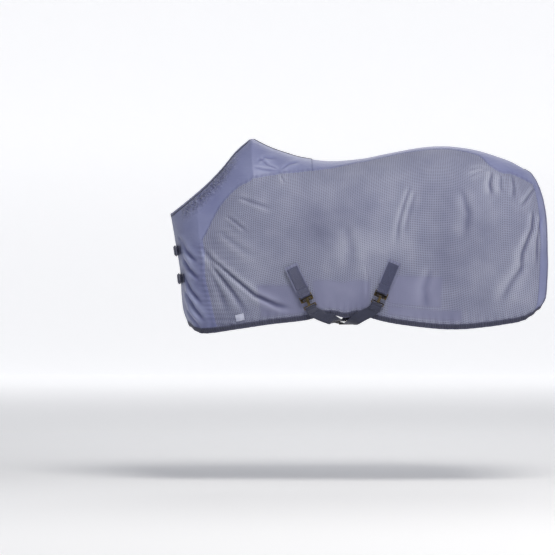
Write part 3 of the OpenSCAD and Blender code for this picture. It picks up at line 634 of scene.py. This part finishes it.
lights = {
    "keySoftbox": {"at": (1.3, -4.4, 4.4), "aim": (0, 0, -0.3),
                   "size": (2.8, 2.0), "watts": 350, "colour": "#fffdf8"},
    "frontFill": {"at": (-4.5, -3.5, 0.4), "aim": (-0.2, 0, -0.4),
                  "size": (2.5, 2.5), "watts": 42, "colour": "#f4f6ff"},
    "tailFill": {"at": (4.5, -2.5, 1.2), "aim": (0.2, 0, -0.4),
                 "size": (2.5, 2.5), "watts": 55, "colour": "#fbfaff"},
    "farSide": {"at": (0.5, 4.5, 3.2), "aim": (0, 0, -0.4),
                "size": (3.5, 2.0), "watts": 60, "colour": "#ffffff"},
}
for name, light in lights.items():
    clearSelection()
    bpy.ops.object.light_add(type="AREA", location=light["at"])
    lamp = bpy.context.object
    lamp.name = name
    lamp.data.shape = "RECTANGLE"
    lamp.data.size, lamp.data.size_y = light["size"]
    lamp.data.energy = light["watts"]
    lamp.data.color = linear(light["colour"])[:3]
    lamp.rotation_euler = (Vector(light["aim"]) - Vector(light["at"])).to_track_quat("-Z", "Y").to_euler()
air = {"colour": "#e4e7ef", "strength": 0.36}
world = bpy.data.worlds.new("studioAir")
world.use_nodes = True
world.node_tree.nodes["Background"].inputs["Color"].default_value = linear(air["colour"])
world.node_tree.nodes["Background"].inputs["Strength"].default_value = air["strength"]
bpy.context.scene.world = world
bpy.context.scene.view_settings.view_transform = "Standard"
print("camera, floor and light ready")


def panel(name, us, rowOf, count, offset, finish, replaces, sign=1, keep=None, tilt=None):
    # one cut piece of cloth, laid out by station and row
    shares = np.linspace(0, 1, count)
    u = np.repeat(us[:, None], count, 1)
    r = rowOf(u, shares[None, :])
    off = offset if tilt is None else offset + tilt(u, r)
    points = onSheet(u, r * sign, off)
    obj = clothGrid(name, points, panelUv(points), 0.7, {"crease": creaseShade(u, r * sign),
                                                         "backed": backing(u, np.abs(r)),
                                                         "gather": gathering(u, np.abs(r))}, keep)
    return settle(obj, finish, "sheet", replaces)


def creaseShade(u, r):
    p = bodyPoint(u, r)
    return billow(u, r, p) / 0.008


def backing(u, k):
    # where linings behind the mesh show through it
    shown = np.zeros_like(u)
    for a, b, c, d in [lining["span"] for lining in linings.values()]:
        edge = np.minimum(np.minimum(u - a, b - u) / 0.008, np.minimum(k - c, d - k) / 0.012)
        shown = np.maximum(shown, smoothly(edge * 0.5 + 0.5))
    return shown * (u > 1.01)


linings = {
    # span is first and last station, first and last row
    "hemFacing": {"span": (1.60, 1.85, .918, .962), "node": "hem_facing", "flat": (.32, .05)},
    "frontPatch": {"span": (1.165, 1.33, .83, .966), "node": "front_patch", "flat": (.23, .13)},
    "middlePatch": {"span": (1.35, 1.54, .82, .966), "node": "middle_patch", "flat": (.26, .13)},
    "rearPatch": {"span": (1.60, 1.78, .775, .91), "node": "rear_patch", "flat": (.25, .13)},
}


def hemRow(u):
    return 1 - rowsFor(shape["hemWidth"], u)


def neckRow(u):
    return np.where(u < 1.13, rowsFor(shape["neckTape"], u) * 1.5, 0.02 + rowsFor(shape["neckTape"], u))


def shoulderRow(u, s):
    # top edge to the seam for the first 0.42 of the rows, seam to hem for the rest
    top = np.where(u < shape["withers"], neckRow(u) * 0.6, 0.004)
    mid = np.where(u < 1, shape["cornerRow"], seamRow(np.clip(u, 1, 3)))
    above, below = mix(top, mid + 0.004 * (u >= 1), s / 0.42), mix(mid, hemRow(u), (s - 0.42) / 0.58)
    return np.where(s <= 0.42, above, below)


def meshRow(u, s):
    return mix(seamRow(u) - 0.006, hemRow(u) + 0.01, s)


def toplineRow(u, s):
    return (seamRow(u) + 0.004) * (2 * s - 1)


panels = {
    # flat sizes are of the cut pieces, with the area of each cut; rows are down the grid
    "shoulder": {"flat": (.62, .86), "area": .27, "rows": 190},
    "mesh": {"flat": (1.70, .78), "area": 1.15, "rows": 110},
    "topline": {"flat": (1.16, .36), "area": .25, "rows": 57},
    "rearBand": {"flat": (.09, .60), "area": .038, "rows": 90},
}


def stations(*stops):
    # stations from stop to stop; each stop is a station and the number of steps to the next
    parts = [np.linspace(a, b, n, endpoint=False) for (a, n), (b, _) in zip(stops[:-1], stops[1:])]
    return np.concatenate(parts + [[stops[-1][0]]])


sides = (("Left", "left", 1), ("Right", "right", -1))
for sideName, nodeSide, sign in sides:
    first = -0.04 if sign > 0 else 0.09
    us = stations((first, 76), (1.0, 120), (shape["stripFrom"] + 0.004, 0))
    count = panels["shoulder"]["rows"]
    s = np.linspace(0, 1, count)
    keep = (us[:, None] <= 1.012) | (s[None, :] <= 0.42)
    panel("shoulderPanel" + sideName, us, shoulderRow, count, 0.9,
                                        "smoothPolyester", ["shoulder_panel_" + nodeSide], sign, keep)
    us = stations((1.0, 190), (2.0, 50), (shape["bandFrom"] + 0.01, 0))
    halves = ["mesh_panel_" + nodeSide, "mesh_quarter_" + nodeSide]
    panel("meshPanel" + sideName, us, meshRow, panels["mesh"]["rows"], 0.0,
                                    "polyesterMesh", halves, sign)
    us = stations((shape["bandFrom"] - 0.015, 18), (2.996, 0))
    panel("rearBand" + sideName, us, meshRow, panels["rearBand"]["rows"], 1.0,
                                        "smoothPolyester", ["rear_band_" + nodeSide], sign)
us = stations((shape["stripFrom"] - 0.004, 95), (2.0, 40), (shape["stripTo"], 0))
panel("toplinePanel", us, toplineRow, panels["topline"]["rows"], 0.95, "smoothPolyester",
                        ["topline_panel"])
print("panels ready")

for key, lining in linings.items():
    a, b, c, d = lining["span"]
    for sideName, nodeSide, sign in sides:
        obj = panel(key + sideName, np.linspace(a, b, 40), lambda u, s: c + (d - c) * s, 20, -3.6,
                    "liningCloth", [lining["node"] + "_" + nodeSide], sign)
labelSetup = {"span": (1.078, 1.107, .930, .962), "flat": (.046, .040), "offset": 2.9, "lift": 1.2}
a, b, c, d = labelSetup["span"]
label = panel("careLabel", np.linspace(a, b, 14), lambda u, s: c + (d - c) * s, 12, labelSetup["offset"],
              "labelSatin", ["care_label"],
              tilt=lambda u, r: labelSetup["lift"] * smoothly((r - c) / (d - c)))
print("linings and label ready")


bindings = {
    # across each tape: out over its face, round the fold and back underneath, as shares of its width
    "share": [0, .06, .35, .7, .93, 1, 1.012, 1, .93, .6, .25, .04],
    "height": [.4, 1, 1, 1, .9, .7, -.05, -.7, -.8, -.8, -.8, -.7],
    "frontShare": [0, .06, .35, .7, .93, 1, 1.03, 1, .93, .6, .25, .04],
    "frontHeight": [.4, 1, 1, 1, .9, .7, 0, -.5, -.6, -.6, -.6, -.5],
    "neckShare": [1, .94, .65, .3, .07, 0, -.012, 0, .07, .4, .75, .96],
    "neckHeight": [.4, 1, 1, 1, .9, .7, 0, -.7, -.8, -.8, -.8, -.7],
    # how far each stands off, in mm, and how strongly the hem is gathered
    "hem": 2.0, "front": 2.0, "neck": 2.6, "rear": 2.4, "hemGather": 0.7, "gatherPitch": 0.011,
}


def tapeUv(shape2d, run, across):
    # UVs in metres along and across a tape
    return np.stack([np.broadcast_to(run, shape2d), np.broadcast_to(across, shape2d)], -1)


def hemTape(name, us, replaces, sign):
    # tape folded round the hem: its outer face, the fold and its inner face in one strip
    share, off = np.array(bindings["share"]), np.array(bindings["height"]) * bindings["hem"]
    u = np.repeat(us[:, None], len(share), 1)
    r = mix(hemRow(u), 1, share[None, :])
    p = bodyPoint(u, r * sign) * mm
    run = np.concatenate([[0], np.cumsum(np.linalg.norm(np.diff(p[:, 0], axis=0), axis=1))])[:, None]
    bulge = bindings["hemGather"] * np.sin(run * 2 * pi / bindings["gatherPitch"] + 2.2 * noiseLine(run * 31))
    bulge = bulge * np.sin(pi * np.clip(share, 0, 1)) ** 0.7
    points = onSheet(u, r * sign, 0.6 + off + bulge)
    uv = tapeUv(r.shape, run, np.linspace(0, 0.05, len(share)))
    # the gathers' valleys get painted shade from the material through this crease attribute
    crease = {"crease": np.broadcast_to(bulge / 1.5, r.shape)}
    settle(clothGrid(name, points, uv, 0.5, crease, inside="line"), "navyTape", "sheet", replaces)


def frontTape(name, sign, replaces):
    # the bound edge down each side of the chest
    span = (-0.05, -0.11) if sign > 0 else (0.08, 0.02)
    rows = np.linspace(0.012, 1, 130)[:, None]
    share = np.array(bindings["frontShare"])
    off = np.array(bindings["frontHeight"]) * (bindings["front"] if sign > 0 else bindings["front"] / 2)
    points = onSheet(mix(span[0], span[1], share)[None, :], rows * hemRow(0.0) * sign, 0.7 + off)
    uv = tapeUv(points.shape[:2], rows * 0.5, share * 0.03)
    settle(clothGrid(name, points, uv, 0.5, None, inside="line"), "bindingTape", "sheet", replaces)


def rearTape(name, sign):
    # the folded edge of the quarters, above the tail opening and down to the hem
    rows = np.linspace(0.0, 1, 150)[:, None]
    share = np.array(bindings["frontShare"])
    off = np.array(bindings["frontHeight"]) * 0.8 * bindings["rear"]
    us = mix(2.945, 3.0, np.minimum(share, 1.0))[None, :]
    points = onSheet(us, mix(0.02, 0.985, rows) * sign, 1.3 + off)
    uv = tapeUv(points.shape[:2], rows * 0.6, share * 0.03)
    settle(clothGrid(name, points, uv, 0.5, None, inside="line"), "bindingTape")


def neckTape():
    # one tape all the way round the neck opening, from the left front to the right
    u = stations((0.03, 110), (1.0, 34), (shape["withers"] - 0.004, 0))
    share, off = np.array(bindings["neckShare"]), np.array(bindings["neckHeight"]) * bindings["neck"]
    halves = []
    for sign in (1, -1):
        r = neckRow(u)[:, None] * np.maximum(share, 0.0)[None, :]
        bump = 0.35 * np.sin(u * 2 * pi / 0.021)[:, None] * np.sin(pi * np.clip(share, 0, 1))
        halves.append(onSheet(u[:, None], np.maximum(r, 1e-4) * sign, 0.8 + off + bump))
    points = np.concatenate([halves[0], halves[1][::-1]])
    uv = tapeUv(points.shape[:2], np.linspace(0, 1.3, len(points))[:, None], share * 0.016)
    obj = clothGrid("neckBinding", points, uv, 0.5, None, inside="line")
    settle(obj, "bindingTape", "sheet", ["neck_binding"])


for sideName, nodeSide, sign in sides:
    us = stations((-0.11 if sign > 0 else 0.02, 90), (1.0, 420), (2.0, 120), (3.0, 0))
    hemTape("hemBinding" + sideName, us, ["hem_binding_" + nodeSide], sign)
    frontTape("frontBinding" + sideName, sign, ["front_binding_" + nodeSide])
    rearTape("rearEdge" + sideName, sign)
neckTape()


def roundCord(name, centres, radius, finish, replaces=(), around=6):
    # a thin round cord or piping along a line of points
    way = np.gradient(centres, axis=0)
    way /= np.linalg.norm(way, axis=1, keepdims=True)
    across = np.cross(way, [0.0, 0.0, 1.0])
    across /= np.maximum(np.linalg.norm(across, axis=1, keepdims=True), 1e-6)
    up = np.cross(across, way)
    angles = np.linspace(0, 2 * pi, around, endpoint=False)
    round1, round2 = np.cos(angles)[None, :, None], np.sin(angles)[None, :, None]
    ring = centres[:, None] + radius * (round1 * across[:, None] + round2 * up[:, None])
    return settle(tubeMesh(name, ring), finish, "sheet", replaces)


def tubeMesh(name, rings, loop=False):
    # a closed skin through rings of points, with UVs in metres along and around it
    n, m = rings.shape[:2]
    verts = rings.reshape(-1, 3)
    run = np.concatenate([[0], np.cumsum(np.linalg.norm(np.diff(rings.mean(axis=1), axis=0), axis=1))])
    side = np.concatenate([[0], np.cumsum(np.linalg.norm(np.diff(rings[0], axis=0), axis=1))])
    total = side[-1] + np.linalg.norm(rings[0, 0] - rings[0, -1])
    faces, uvs = [], []
    last = n if loop else n - 1
    for i in range(last):
        k = (i + 1) % n
        for j in range(m):
            t = (j + 1) % m
            faces.append((i * m + j, i * m + t, k * m + t, k * m + j))
            v0, v1 = side[j], side[t] if t else total
            s1 = run[k] if k else run[-1] + (run[1] - run[0])
            uvs += [(run[i], v0), (run[i], v1), (s1, v1), (s1, v0)]
    if not loop:
        faces += [tuple(reversed(range(m))), tuple(range((n - 1) * m, n * m))]
        uvs += [(0, 0)] * m + [(run[-1], 0)] * m
    mesh = bpy.data.meshes.new(name)
    mesh.from_pydata([tuple(v) for v in verts], [], faces)
    layer = mesh.uv_layers.new(name="weave")
    layer.data.foreach_set("uv", np.array(uvs, np.float32).reshape(-1))
    obj = bpy.data.objects.new(name, mesh)
    bpy.context.collection.objects.link(obj)
    work = bmesh.new()
    work.from_mesh(mesh)
    bmesh.ops.recalc_face_normals(work, faces=work.faces)
    work.to_mesh(mesh)
    work.free()
    mesh.shade_smooth()
    return obj


cords = {"piping": 0.0017, "neck": 0.0019}        # radii of the withers piping and of the dark cord that paints the neck seam's shadow
# a navy cord below the neck tape paints the shadow along the seam there
for sideName, nodeSide, sign in sides:
    us = stations((0.05, 90), (1.0, 40), (shape["withers"] - 0.012, 0))
    line = onSheet(us, (neckRow(us) + rowsFor(2.5, us)) * sign, 2.3)
    roundCord("neckSeamShadowCord" + sideName, line, cords["neck"], "navyTape")
us = np.linspace(shape["withers"] + 0.006, shape["stripFrom"], 60)
roundCord("withersPiping", onSheet(us, us * 0 + 1e-4, 2.4), cords["piping"], "navyTape", ["withers_piping"])
print("bound edges ready")


fittings = {
    # where each plate's bar lies, then its tilt, lean and yaw in degrees, as on the fitting itself
    "front": {"at": (-246, -269.5, -633), "turn": (1.5, -25.5, 4)},
    "rear": {"at": (104, -295.5, -617), "turn": (3, 22.5, 0)},
}
webbing = {"width": 50, "thick": 2.2, "bar": 2.5, "tab": 140, "fold": 36, "lower": -58,
           "spareWidth": 13, "spareTop": 14}        # how far the backing shows past the tab


def placed(fitting, point):
    # a point of a fitting, X across the webbing, Z up it and -Y outwards, in mm on the sheet
    return Vector(fitting["at"]) + turned(fitting, point)


def turned(fitting, direction):
    tilt, lean, yaw = (radians(a) for a in fitting["turn"])
    turn = Matrix.Rotation(yaw, 3, "Z") @ Matrix.Rotation(tilt, 3, "X") @ Matrix.Rotation(lean, 3, "Y")
    return turn @ Vector(direction)


def resampled(points, step):
    # points every step along a smooth line through the given ones, all columns together
    pts = np.array(points, float)
    gone = np.concatenate([[0], np.cumsum(np.linalg.norm(np.diff(pts[:, :3], axis=0), axis=1))])
    at = np.linspace(0, gone[-1], max(int(gone[-1] / step), 2) + 1)
    return np.stack([curveAt(np.stack([gone, pts[:, k]], 1), at) for k in range(pts.shape[1])], 1)


def band(name, path, width, thick, body="sheet", replaces=(), finish="navyWebbing", loop=False, wobble=0.0):
    # webbing with rounded edges along rows of (centre, width direction), in mm
    path = np.array(path, float)
    centre, across = path[:, :3], path[:, 3:]
    if loop:
        way = np.roll(centre, -1, axis=0) - np.roll(centre, 1, axis=0)
    else:
        way = np.gradient(centre, axis=0)
    way /= np.linalg.norm(way, axis=1, keepdims=True)
    across = across - way * (across * way).sum(1, keepdims=True)
    across /= np.linalg.norm(across, axis=1, keepdims=True)
    out = np.cross(across, way)
    w, t = width / 2, thick / 2
    section = [(-w, 0), (-w + .2, t * .7), (-w + 1, t), (-w / 2, t * 1.04), (0, t), (w / 2, t * 1.04)]
    section += [(w - 1, t), (w - .2, t * .7)]
    section += [(w, 0)] + [(a, -b) for a, b in reversed(section[1:])]
    ripple = wobble * np.sin(np.arange(len(centre)) * 0.37)
    ripple = ripple[:, None]
    rings = np.stack([centre + across * a + out * (b + ripple * (abs(a) / w)) for a, b in section], 1)
    return settle(tubeMesh(name, rings * mm, loop=loop), finish, body, replaces)


def arcPoints(radius, start, end, count, centre=(0.0, 0.0)):
    turns = [radians(a) for a in np.linspace(start, end, count)]
    return [(centre[0] + radius * cos(a), centre[1] + radius * sin(a)) for a in turns]


def surcingleTab(key):
    # sewn to the sheet above, folded round the plate's bar and doubled back up the front
    fitting, r = fittings[key], webbing["bar"] + 0.5 + webbing["thick"] / 2
    line = [(1.25, z) for z in np.linspace(webbing["tab"], 9, 34)]
    line += arcPoints(r, 20, -200, 22)
    line += [(-1.3, z) for z in np.linspace(9, webbing["fold"], 9)]
    path = [[*placed(fitting, (0, y, z)), *turned(fitting, (1, 0, 0))] for y, z in line]
    band(key + "SurcingleTab", path, webbing["width"], webbing["thick"], replaces=[key + "_surcingle_tab"])


def tabBacking(key):
    # a patch of lining that spreads the pull of the tab on the mesh
    fitting = fittings[key]
    line = [(3.7 + 0.12 * sin(z * 0.3), z) for z in np.linspace(30, webbing["tab"] + webbing["spareTop"], 40)]
    path = [[*placed(fitting, (0, y, z)), *turned(fitting, (1, 0, 0))] for y, z in line]
    band(key + "TabBacking", path, webbing["width"] + webbing["spareWidth"], 0.9,
         replaces=[key + "_tab_backing"], finish="bindingTape")


beltRoute = {
    # from each hook round the hem to the belly: points and the direction of the webbing's width
    "front": [((-190, -264.5, -716), (.6, 0, .8)), ((-160, -263.5, -729), (.45, 0, .9)),
              ((-128, -264, -740), (.5, -.1, .85)), ((-106, -240, -747), (.75, -.4, .35)),
              ((-92, -170, -748), (.99, -.12, 0))],
    "rear": [((54, -286, -704), (.6, 0, -.8)), ((24, -281.5, -720), (.45, 0, -.9)),
             ((-8, -278, -738), (.5, .1, -.85)), ((-34, -252, -757), (.75, .4, -.35)),
             ((-52, -180, -763), (.99, .1, 0))],
    "crossing": {"front": (-71, 0, -749), "rear": (-71, 0, -762)},
    "raise": {"front": 13, "rear": -13}, "raiseShare": (0, 0, .4, 1, 1),
}


def farSide(p):
    return Vector((p[0], -p[1], p[2]))


def bellyPath(key, other):
    # from the T-hook, round the hem, under the belly and up the far side
    here, there = fittings[key], fittings[other]
    v, o = turned(here, (1, 0, 0)), farSide(turned(there, (1, 0, 0)))
    lower, r = webbing["lower"], webbing["bar"] + 1 + webbing["thick"] / 2
    rows = [(placed(here, (0, -1.35, z)), v) for z in np.linspace(lower - 30, lower - 9, 8)]
    rows += [(placed(here, (0, y, z)), v) for y, z in arcPoints(r, 200, -20, 20, (0, lower))]
    rows += [(placed(here, (0, 1.3, z)), v) for z in np.linspace(lower - 9, lower - 20, 4)]
    near, far = beltRoute[key], beltRoute[other]
    a, b = Vector(near[4][0]), farSide(far[4][0])
    way = b - a
    points = [(placed(here, (0, 1.3, lower - 20)), v)] + list(near)
    points.append((beltRoute["crossing"][key], Vector((way.y, -way.x, 0)).normalized()))
    for share, (p, d) in zip(reversed(beltRoute["raiseShare"]), reversed(far)):
        points.append((farSide(p) + Vector((0, 0, share * beltRoute["raise"][key])), farSide(d)))
    points += [(farSide(placed(there, (0, 0, z))), o) for z in (lower - 24, lower, webbing["tab"])]
    smooth = resampled([[*p, *d] for p, d in points], 6.0)
    return [[*p, *d] for p, d in rows] + [list(row) for row in smooth[1:]]


def fittingCopy(nodeName, body, name, bevel):
    # a merged copy of a fitting's own solid, its edges rounded as stamping and tumbling leave them
    clearSelection()
    obj = nodes[nodeName].copy()
    obj.data = nodes[nodeName].data.copy()
    obj.name = obj.data.name = name
    bpy.context.collection.objects.link(obj)
    obj.parent = None
    obj.matrix_world = Matrix.Identity(4)
    obj.hide_render = False
    makeActive(obj)
    bpy.ops.object.mode_set(mode="EDIT")
    bpy.ops.mesh.select_all(action="SELECT")
    bpy.ops.mesh.remove_doubles(threshold=0.00001)
    bpy.ops.mesh.dissolve_limited(angle_limit=radians(2))
    bpy.ops.object.mode_set(mode="OBJECT")
    if bevel:
        edge = obj.modifiers.new("rounded", "BEVEL")
        edge.width, edge.segments, edge.limit_method, edge.angle_limit = bevel * mm, 2, "ANGLE", radians(40)
        edge.harden_normals = False
        applyModifiers(obj)
    makeActive(obj)
    bpy.ops.object.shade_smooth_by_angle(angle=radians(35))
    return settle(obj, "antiqueBrass", body, [nodeName])


for key, other in (("front", "rear"), ("rear", "front")):
    surcingleTab(key)
    tabBacking(key)
    # the belly straps take the darker webbing copy, which paints their shade
    band(key + "BellyStrap", bellyPath(key, other), webbing["width"] - 0.4, webbing["thick"],
         replaces=[key + "_belly_strap"], finish="shadedBellyWebbing", wobble=0.25)
    fittingCopy(key + "_slotted_plate", key + "_plate", key + "SlottedPlate", 0.7)
    fittingCopy(key + "_t_hook", key + "_hook", key + "THook", 0.5)
    fittingCopy(key + "_strap_slider", key + "_slider", key + "StrapSlider", 0.6)
print("surcingle ready")


chest = {
    "middle": 240, "strap": 248, "over": 260, "bar": (-13, -26), "web": 40, "thick": 2.2,
    "upper": {"at": (-832, 0, -424), "tilt": -9},
    "lower": {"at": (-815.5, 0, -554), "tilt": -6.5},
}
keeper = {"angle": 13.5, "width": 12.6, "thick": 1.5, "corner": 1.6}


def onArc(angle, radius):
    return (chest["middle"] - radius * cos(radians(angle)), -radius * sin(radians(angle)))


def leaned(key, x, y, z):
    # a direction at a fastening, leaning with the chest
    return Matrix.Rotation(radians(chest[key]["tilt"]), 3, "Y") @ Vector((x, y, z))


def onChest(key, x, y, z=0.0):
    return Vector(chest[key]["at"]) + leaned(key, x, y, z)


def chestPath(key, line):
    return [[*onChest(key, x, y), *leaned(key, 0, 0, 1)] for x, y in line]


def cutSlot(obj, key, x, y, deep, long, high=7.0):
    # a slot for the prong, cut with a block that is then taken away
    clearSelection()
    bpy.ops.mesh.primitive_cube_add(size=1)
    block = bpy.context.object
    block.data.transform(Matrix.Diagonal((deep * mm, long * mm, high * mm, 1)))
    block.data.transform(Matrix.Translation(Vector((x, y, 0)) * mm))
    tilt = Matrix.Rotation(radians(chest[key]["tilt"]), 4, "Y")
    block.data.transform(Matrix.Translation(Vector(chest[key]["at"]) * mm) @ tilt)
    cut = obj.modifiers.new("slot", "BOOLEAN")
    cut.operation, cut.object, cut.solver = "DIFFERENCE", block, "EXACT"
    applyModifiers(obj)
    bpy.data.objects.remove(block, do_unlink=True)


for key in ("upper", "lower"):
    half = chest["thick"] / 2 + 0.1
    strapLine = [onArc(a, chest["strap"] + half) for a in np.linspace(-24, -4, 22)]
    climb = [(a, float(smoothly((a + 4) / 7))) for a in np.linspace(-3, 3, 9)]
    strapLine += [onArc(a, mix(chest["strap"], chest["over"], share) + half) for a, share in climb]
    strapLine += [onArc(a, chest["over"] + half) for a in np.linspace(4, 21, 20)]
    strap = band(key + "ChestStrap", chestPath(key, strapLine), chest["web"] - 1, chest["thick"],
                 replaces=[key + "_chest_strap"])
    cutSlot(strap, key, -15, -5, 30, 32, 6.6)
    bx, by = chest["bar"]
    lean = degrees(atan2(26, 253))
    r = 3.7
    tabLine = [onArc(a, 251.9 + half) for a in np.linspace(19, 12, 8)]
    tabLine += [onArc(a, mix(251.9 + half, 257.9, (12 - a) / 4.5)) for a in (10.5, 9, 7.8)]
    outX, outY = -cos(radians(lean)), -sin(radians(lean))
    turns = [(cos(radians(t)), sin(radians(t))) for t in np.linspace(0, 180, 16)]
    tabLine += [(bx + r * (c * outX + s * outY), by + r * (c * outY - s * outX)) for c, s in turns]
    tabLine += [onArc(a, mix(250.7, chest["strap"] + half, (a - 5.9) / 3)) for a in (7.2, 8.2)]
    tabLine += [onArc(a, chest["strap"] + half) for a in np.linspace(9.5, 24, 17)]
    tab = band(key + "ChestTab", chestPath(key, tabLine), chest["web"], chest["thick"],
               replaces=[key + "_chest_tab"])
    cutSlot(tab, key, bx, by + 1, 24, 14, 7)
    # the keeper is a band bent round the strap and the tab
    low, high, tall = chest["strap"] - 1.5, chest["over"] + 3.9, chest["web"] / 2 + 1.6
    corner = keeper["corner"]
    ring = []
    for cr, cz, start in ((high - corner, tall - corner, 0), (low + corner, tall - corner, 90),
                          (low + corner, -tall + corner, 180), (high - corner, -tall + corner, 270)):
        ring += arcPoints(corner, start, start + 90, 5, (cr, cz))
    keeperPath = []
    for radius, z in ring:
        x, y = onArc(keeper["angle"], radius)
        sway = leaned(key, sin(radians(keeper["angle"])), -cos(radians(keeper["angle"])), 0)
        keeperPath.append([*onChest(key, x, y, z), *sway])
    band(key + "ChestKeeper", keeperPath, keeper["width"], keeper["thick"], body=key + "_keeper",
         replaces=[key + "_chest_keeper"], loop=True)
    fittingCopy(key + "_chest_buckle", "sheet", key + "ChestBuckle", 0)
    fittingCopy(key + "_chest_prong", key + "_prong", key + "ChestProng", 0.5)
print("chest fastenings ready")


def stitchRow(points, normals, step=7.0, long=4.6, wide=1.0):
    # one small raised stitch at every step along a line, in metres, as corners and faces
    pts = np.asarray(points, float)
    gone = np.concatenate([[0], np.cumsum(np.linalg.norm(np.diff(pts, axis=0), axis=1))])
    count = int(gone[-1] / (step * mm))
    at = (np.arange(count) + 0.5) * step * mm
    where = lambda s: np.stack([np.interp(s, gone, pts[:, k]) for k in range(3)], 1)
    up = np.stack([np.interp(at, gone, normals[:, k]) for k in range(3)], 1)
    up /= np.linalg.norm(up, axis=1, keepdims=True)
    a, b = where(at - long * mm / 2), where(at + long * mm / 2)
    way = (b - a) / np.maximum(np.linalg.norm(b - a, axis=1, keepdims=True), 1e-9)
    across = np.cross(up, way) * wide * mm / 2
    rise = up * 0.45 * mm
    low = up * -0.15 * mm
    near, far = a + (b - a) * 0.25, b - (b - a) * 0.25
    return np.stack([a + low, near + across + low, far + across + low, b + low, far - across + low,
                     near - across + low, near + rise, far + rise], 1)


def stitching(name, rows, body="sheet"):
    corners = np.concatenate([stitchRow(*row[:2], **row[2]) for row in rows])
    quads = [(0, 1, 6), (1, 2, 7, 6), (2, 3, 7), (3, 4, 7), (4, 5, 6, 7), (5, 0, 6), (5, 4, 3, 2, 1, 0)]
    faces = [tuple(8 * k + i for i in quad) for k in range(len(corners)) for quad in quads]
    mesh = bpy.data.meshes.new(name)
    mesh.from_pydata([tuple(v) for v in corners.reshape(-1, 3)], [], faces)
    mesh.uv_layers.new(name="weave")
    obj = bpy.data.objects.new(name, mesh)
    bpy.context.collection.objects.link(obj)
    work = bmesh.new()
    work.from_mesh(mesh)
    bmesh.ops.recalc_face_normals(work, faces=work.faces)
    work.to_mesh(mesh)
    work.free()
    return settle(obj, "thread", body)


def sewn(us, rs, offset, sign=1, **how):
    # a row of stitches on the cloth, by station and row
    us, rs = np.broadcast_arrays(np.asarray(us, float), np.asarray(rs, float))
    return onSheet(us, rs * sign, offset), outward(us, rs * sign), how


for sideName, nodeSide, sign in sides:
    rows = []
    u = np.linspace(0.03 if sign > 0 else 0.1, 2.99, 900)
    rows.append(sewn(u, mix(hemRow(u), 1, 0.07), 3.1, sign))
    rows.append(sewn(u, hemRow(u) - rowsFor(5, u), 2.2, sign))
    u = np.linspace(0.06, 1.165, 240)
    rows.append(sewn(u, neckRow(u) * 0.9, 3.1, sign, step=6.0))
    rows.append(sewn(u, neckRow(u) + rowsFor(4, u), 2.1, sign, step=6.0))
    u = np.linspace(1.004, 2.69, 700)
    rows.append(sewn(u, seamRow(u) - 0.004, 2.1, sign))
    rows.append(sewn(u, seamRow(u) - 0.010, 2.1, sign))
    r = np.linspace(0.47, 0.96, 130)
    rows.append(sewn(0.994, r, 2.1, sign))
    rows.append(sewn(0.978, r, 2.1, sign))
    r = np.linspace(0.29, 0.95, 150)
    rows.append(sewn(2.7, r, 2.1, sign))
    rows.append(sewn(2.952, r, 4.0, sign))
    for a, b, c, d in [lining["span"] for lining in linings.values()]:
        rows.append(sewn(np.linspace(a, b, 60), c + 0.004, 1.1, sign, step=6.0, wide=0.8))
        rows.append(sewn(np.linspace(a, b, 60), d - 0.004, 1.1, sign, step=6.0, wide=0.8))
        for end in (a + 0.003, b - 0.003):
            rows.append(sewn(end, np.linspace(c, d, 20), 1.1, sign, step=6.0, wide=0.8))
    stitching("seamStitching" + sideName, rows)

boxStitch = {"step": 5.0, "long": 3.4}


def tabStitches(fitting, start, end, y, count=12):
    # a straight row across or along a tab, between two places (x, z)
    (x0, z0), (x1, z1) = start, end
    shares = np.linspace(0, 1, count)
    pts = np.array([placed(fitting, (mix(x0, x1, s), y, mix(z0, z1, s))) for s in shares]) * mm
    return pts, np.tile(np.array(turned(fitting, (0, -1, 0))), (count, 1)), boxStitch


rows = []
for key, fitting in fittings.items():
    half, top, low = webbing["width"] / 2 - 4, webbing["tab"] - 5, 44
    corners = [(-half, low), (half, low), (half, top), (-half, top), (-half, low), (half, top)]
    for start, end in list(zip(corners[:-1], corners[1:])) + [((half, low), (-half, top))]:
        rows.append(tabStitches(fitting, start, end, 0.05))
    for z in (11, 32):
        rows.append(tabStitches(fitting, (-half, z), (half, z), -2.5))
    for z in (webbing["lower"] - 12, webbing["lower"] - 31):
        rows.append(tabStitches(fitting, (-half, z), (half, z), -2.55))
stitching("surcingleStitching", rows)
print("stitching ready")
